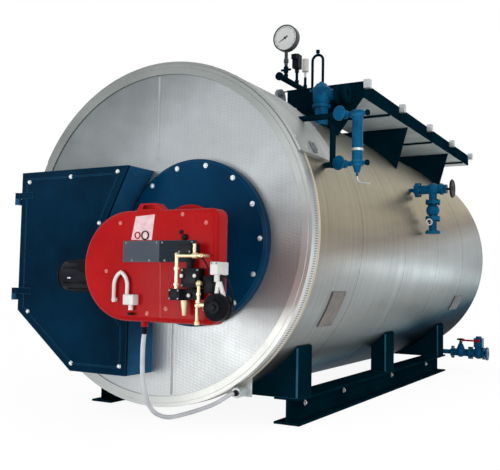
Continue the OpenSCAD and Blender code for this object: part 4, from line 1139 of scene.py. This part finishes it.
# tube ends behind the smoke box door: a rim and a dark mouth each, black as soot and as painted shade in the tube's
# depth
tubes = dict(pitch=78, rise=72.54, rows=14, places=10, y=-3, left=-760, right=-60, low=330, high=1360, mouth=0.0262,
             plateReach=500, shellReach=880, corner=(-410, 370), slant=0.64)
rim = {"Radius": 0.027, "Wall": 0.0035}


def mouthTree():
    tree, given = startTree("mouthTree", ("Radius", "Wall"))
    circle = node(tree, "GeometryNodeCurvePrimitiveCircle", mode="RADIUS", Resolution=24, Radius=given["Radius"])
    wall = node(tree, "GeometryNodeCurvePrimitiveCircle", mode="RADIUS", Resolution=6, Radius=given["Wall"])
    torus = node(tree, "GeometryNodeCurveToMesh", Curve=circle.outputs["Curve"],
                 **{"Profile Curve": wall.outputs["Curve"]})
    return endTree(tree, given, given["Geometry"], torus.outputs[0])


def insideBox(x, z):
    # inside the smoke box, clear of its slanted corner, the burner plate and the shell's edge
    cornerX, cornerZ = tubes["corner"]
    clearOfPlate = math.hypot(x - plate["x"], z - plate["z"]) > tubes["plateReach"]
    clearOfCorner = z > cornerZ - (x - cornerX) * tubes["slant"]
    return clearOfPlate and clearOfCorner and math.hypot(x, z - axisHeight) < tubes["shellReach"]


mouthSpots = []
for row in range(tubes["rows"]):
    for place in range(tubes["places"]):
        x = tubes["left"] + (place + 0.5 * (row % 2)) * tubes["pitch"]
        z = tubes["low"] + row * tubes["rise"]
        if x < tubes["right"] and z < tubes["high"] and insideBox(x, z):
            mouthSpots.append(at(x, tubes["y"], z))
# the tree lays its rings flat, so the spots are turned down and the result is stood up again
mouthBase = bpy.data.meshes.new("mouthBase")
mouthBase.from_pydata([standUp.inverted() @ spot for spot in mouthSpots], [], [])
rims = runTree("tubeRims", mouthTree(), {**rim, "Material": galvanised}, base=mouthBase)
rims.data.transform(standUp)
makeFasteners("tubeMouths", [(spot, forward) for spot in mouthSpots], sootAndShadeBlack, radius=tubes["mouth"], height=0.0008,
              sides=20, washer=1.0, dome=0.02)
print("tube ends set")

# light, floor and background
studio = dict(around=0.45, floorSize=60, paper=0.80, paperRough=0.9, glow=1.12, glowShare=0.82, lamps=[
    # spot, aim, size, watts, colour
    ((5.2, -5.4, 2.2), (0.3, -1.6, 1.0), (3.2, 3.2), 95, (1.0, 1.0, 1.0)),
    ((-0.7, -5.6, 0.6), (0.5, -2.0, 0.5), (1.8, 0.8), 42, (1.0, 1.0, 1.0)),
    ((-4.6, -6.8, 3.4), (0.0, -1.5, 1.0), (3.0, 2.4), 30, (0.95, 0.98, 1.0)),
    ((3.4, 6.4, 0.30), (0.9, 0.0, 0.8), (2.6, 0.5), 13, (0.88, 0.96, 1.0)),
    ((4.5, -1.0, 5.5), (0.5, 0.5, 1.0), (3.0, 5.0), 60, (1.0, 0.98, 0.95)),
])


def whiteToView(tree):
    # rays from the camera, gloss and glass see plain white
    rays = tree.nodes.new("ShaderNodeLightPath").outputs
    seen = sums(tree, "MAXIMUM", rays["Is Camera Ray"], rays["Is Glossy Ray"])
    return sums(tree, "MAXIMUM", seen, rays["Is Transmission Ray"])


def makeWorld():
    world = bpy.data.worlds.new("studio")
    bpy.context.scene.world = world
    world.use_nodes = True
    tree = world.node_tree
    strength = node(tree, "ShaderNodeMapRange", Value=whiteToView(tree), **{"To Min": studio["around"], "To Max": 1.0})
    back = tree.nodes["Background"]
    setInput(tree, back.inputs["Color"], (1, 1, 1))
    setInput(tree, back.inputs["Strength"], strength.outputs[0])


def makeFloor():
    mesh = bpy.data.meshes.new("floor")
    half = studio["floorSize"] / 2
    mesh.from_pydata([(-half, -half, 0), (half, -half, 0), (half, half, 0), (-half, half, 0)], [], [(0, 1, 2, 3)])
    material, tree, place = newFinish("floorPaper")
    fine = ramp(tree, noise(tree, place, 30, 2), [(0.3, studio["paper"] * 0.98), (0.7, studio["paper"])])
    shader = tree.nodes["Principled BSDF"]
    setInput(tree, shader.inputs["Base Color"], fine)
    setInput(tree, shader.inputs["Roughness"], studio["paperRough"])
    glow = node(tree, "ShaderNodeEmission", Strength=studio["glow"])
    blend = tree.nodes.new("ShaderNodeMixShader")
    for socket, value in zip(blend.inputs, (
            times(tree, whiteToView(tree), studio["glowShare"]), shader.outputs[0], glow.outputs[0])):
        tree.links.new(value, socket)
    tree.links.new(blend.outputs[0], tree.nodes["Material Output"].inputs[0])
    mesh.materials.append(material)
    addObject("floor", mesh)


def makeLamps():
    for i, (spot, aim, size, watts, colour) in enumerate(studio["lamps"]):
        data = bpy.data.lights.new("lamp%d" % i, "AREA")
        data.shape, data.size, data.size_y = "RECTANGLE", size[0], size[1]
        data.energy, data.color = watts, colour
        lamp = addObject("lamp%d" % i, data)
        lamp.location = spot
        lamp.rotation_euler = (Vector(aim) - Vector(spot)).to_track_quat("-Z", "Y").to_euler()
        lamp.visible_camera = False


makeWorld()
makeFloor()
makeLamps()
bpy.context.scene.view_settings.view_transform = "Standard"
print("studio lit")
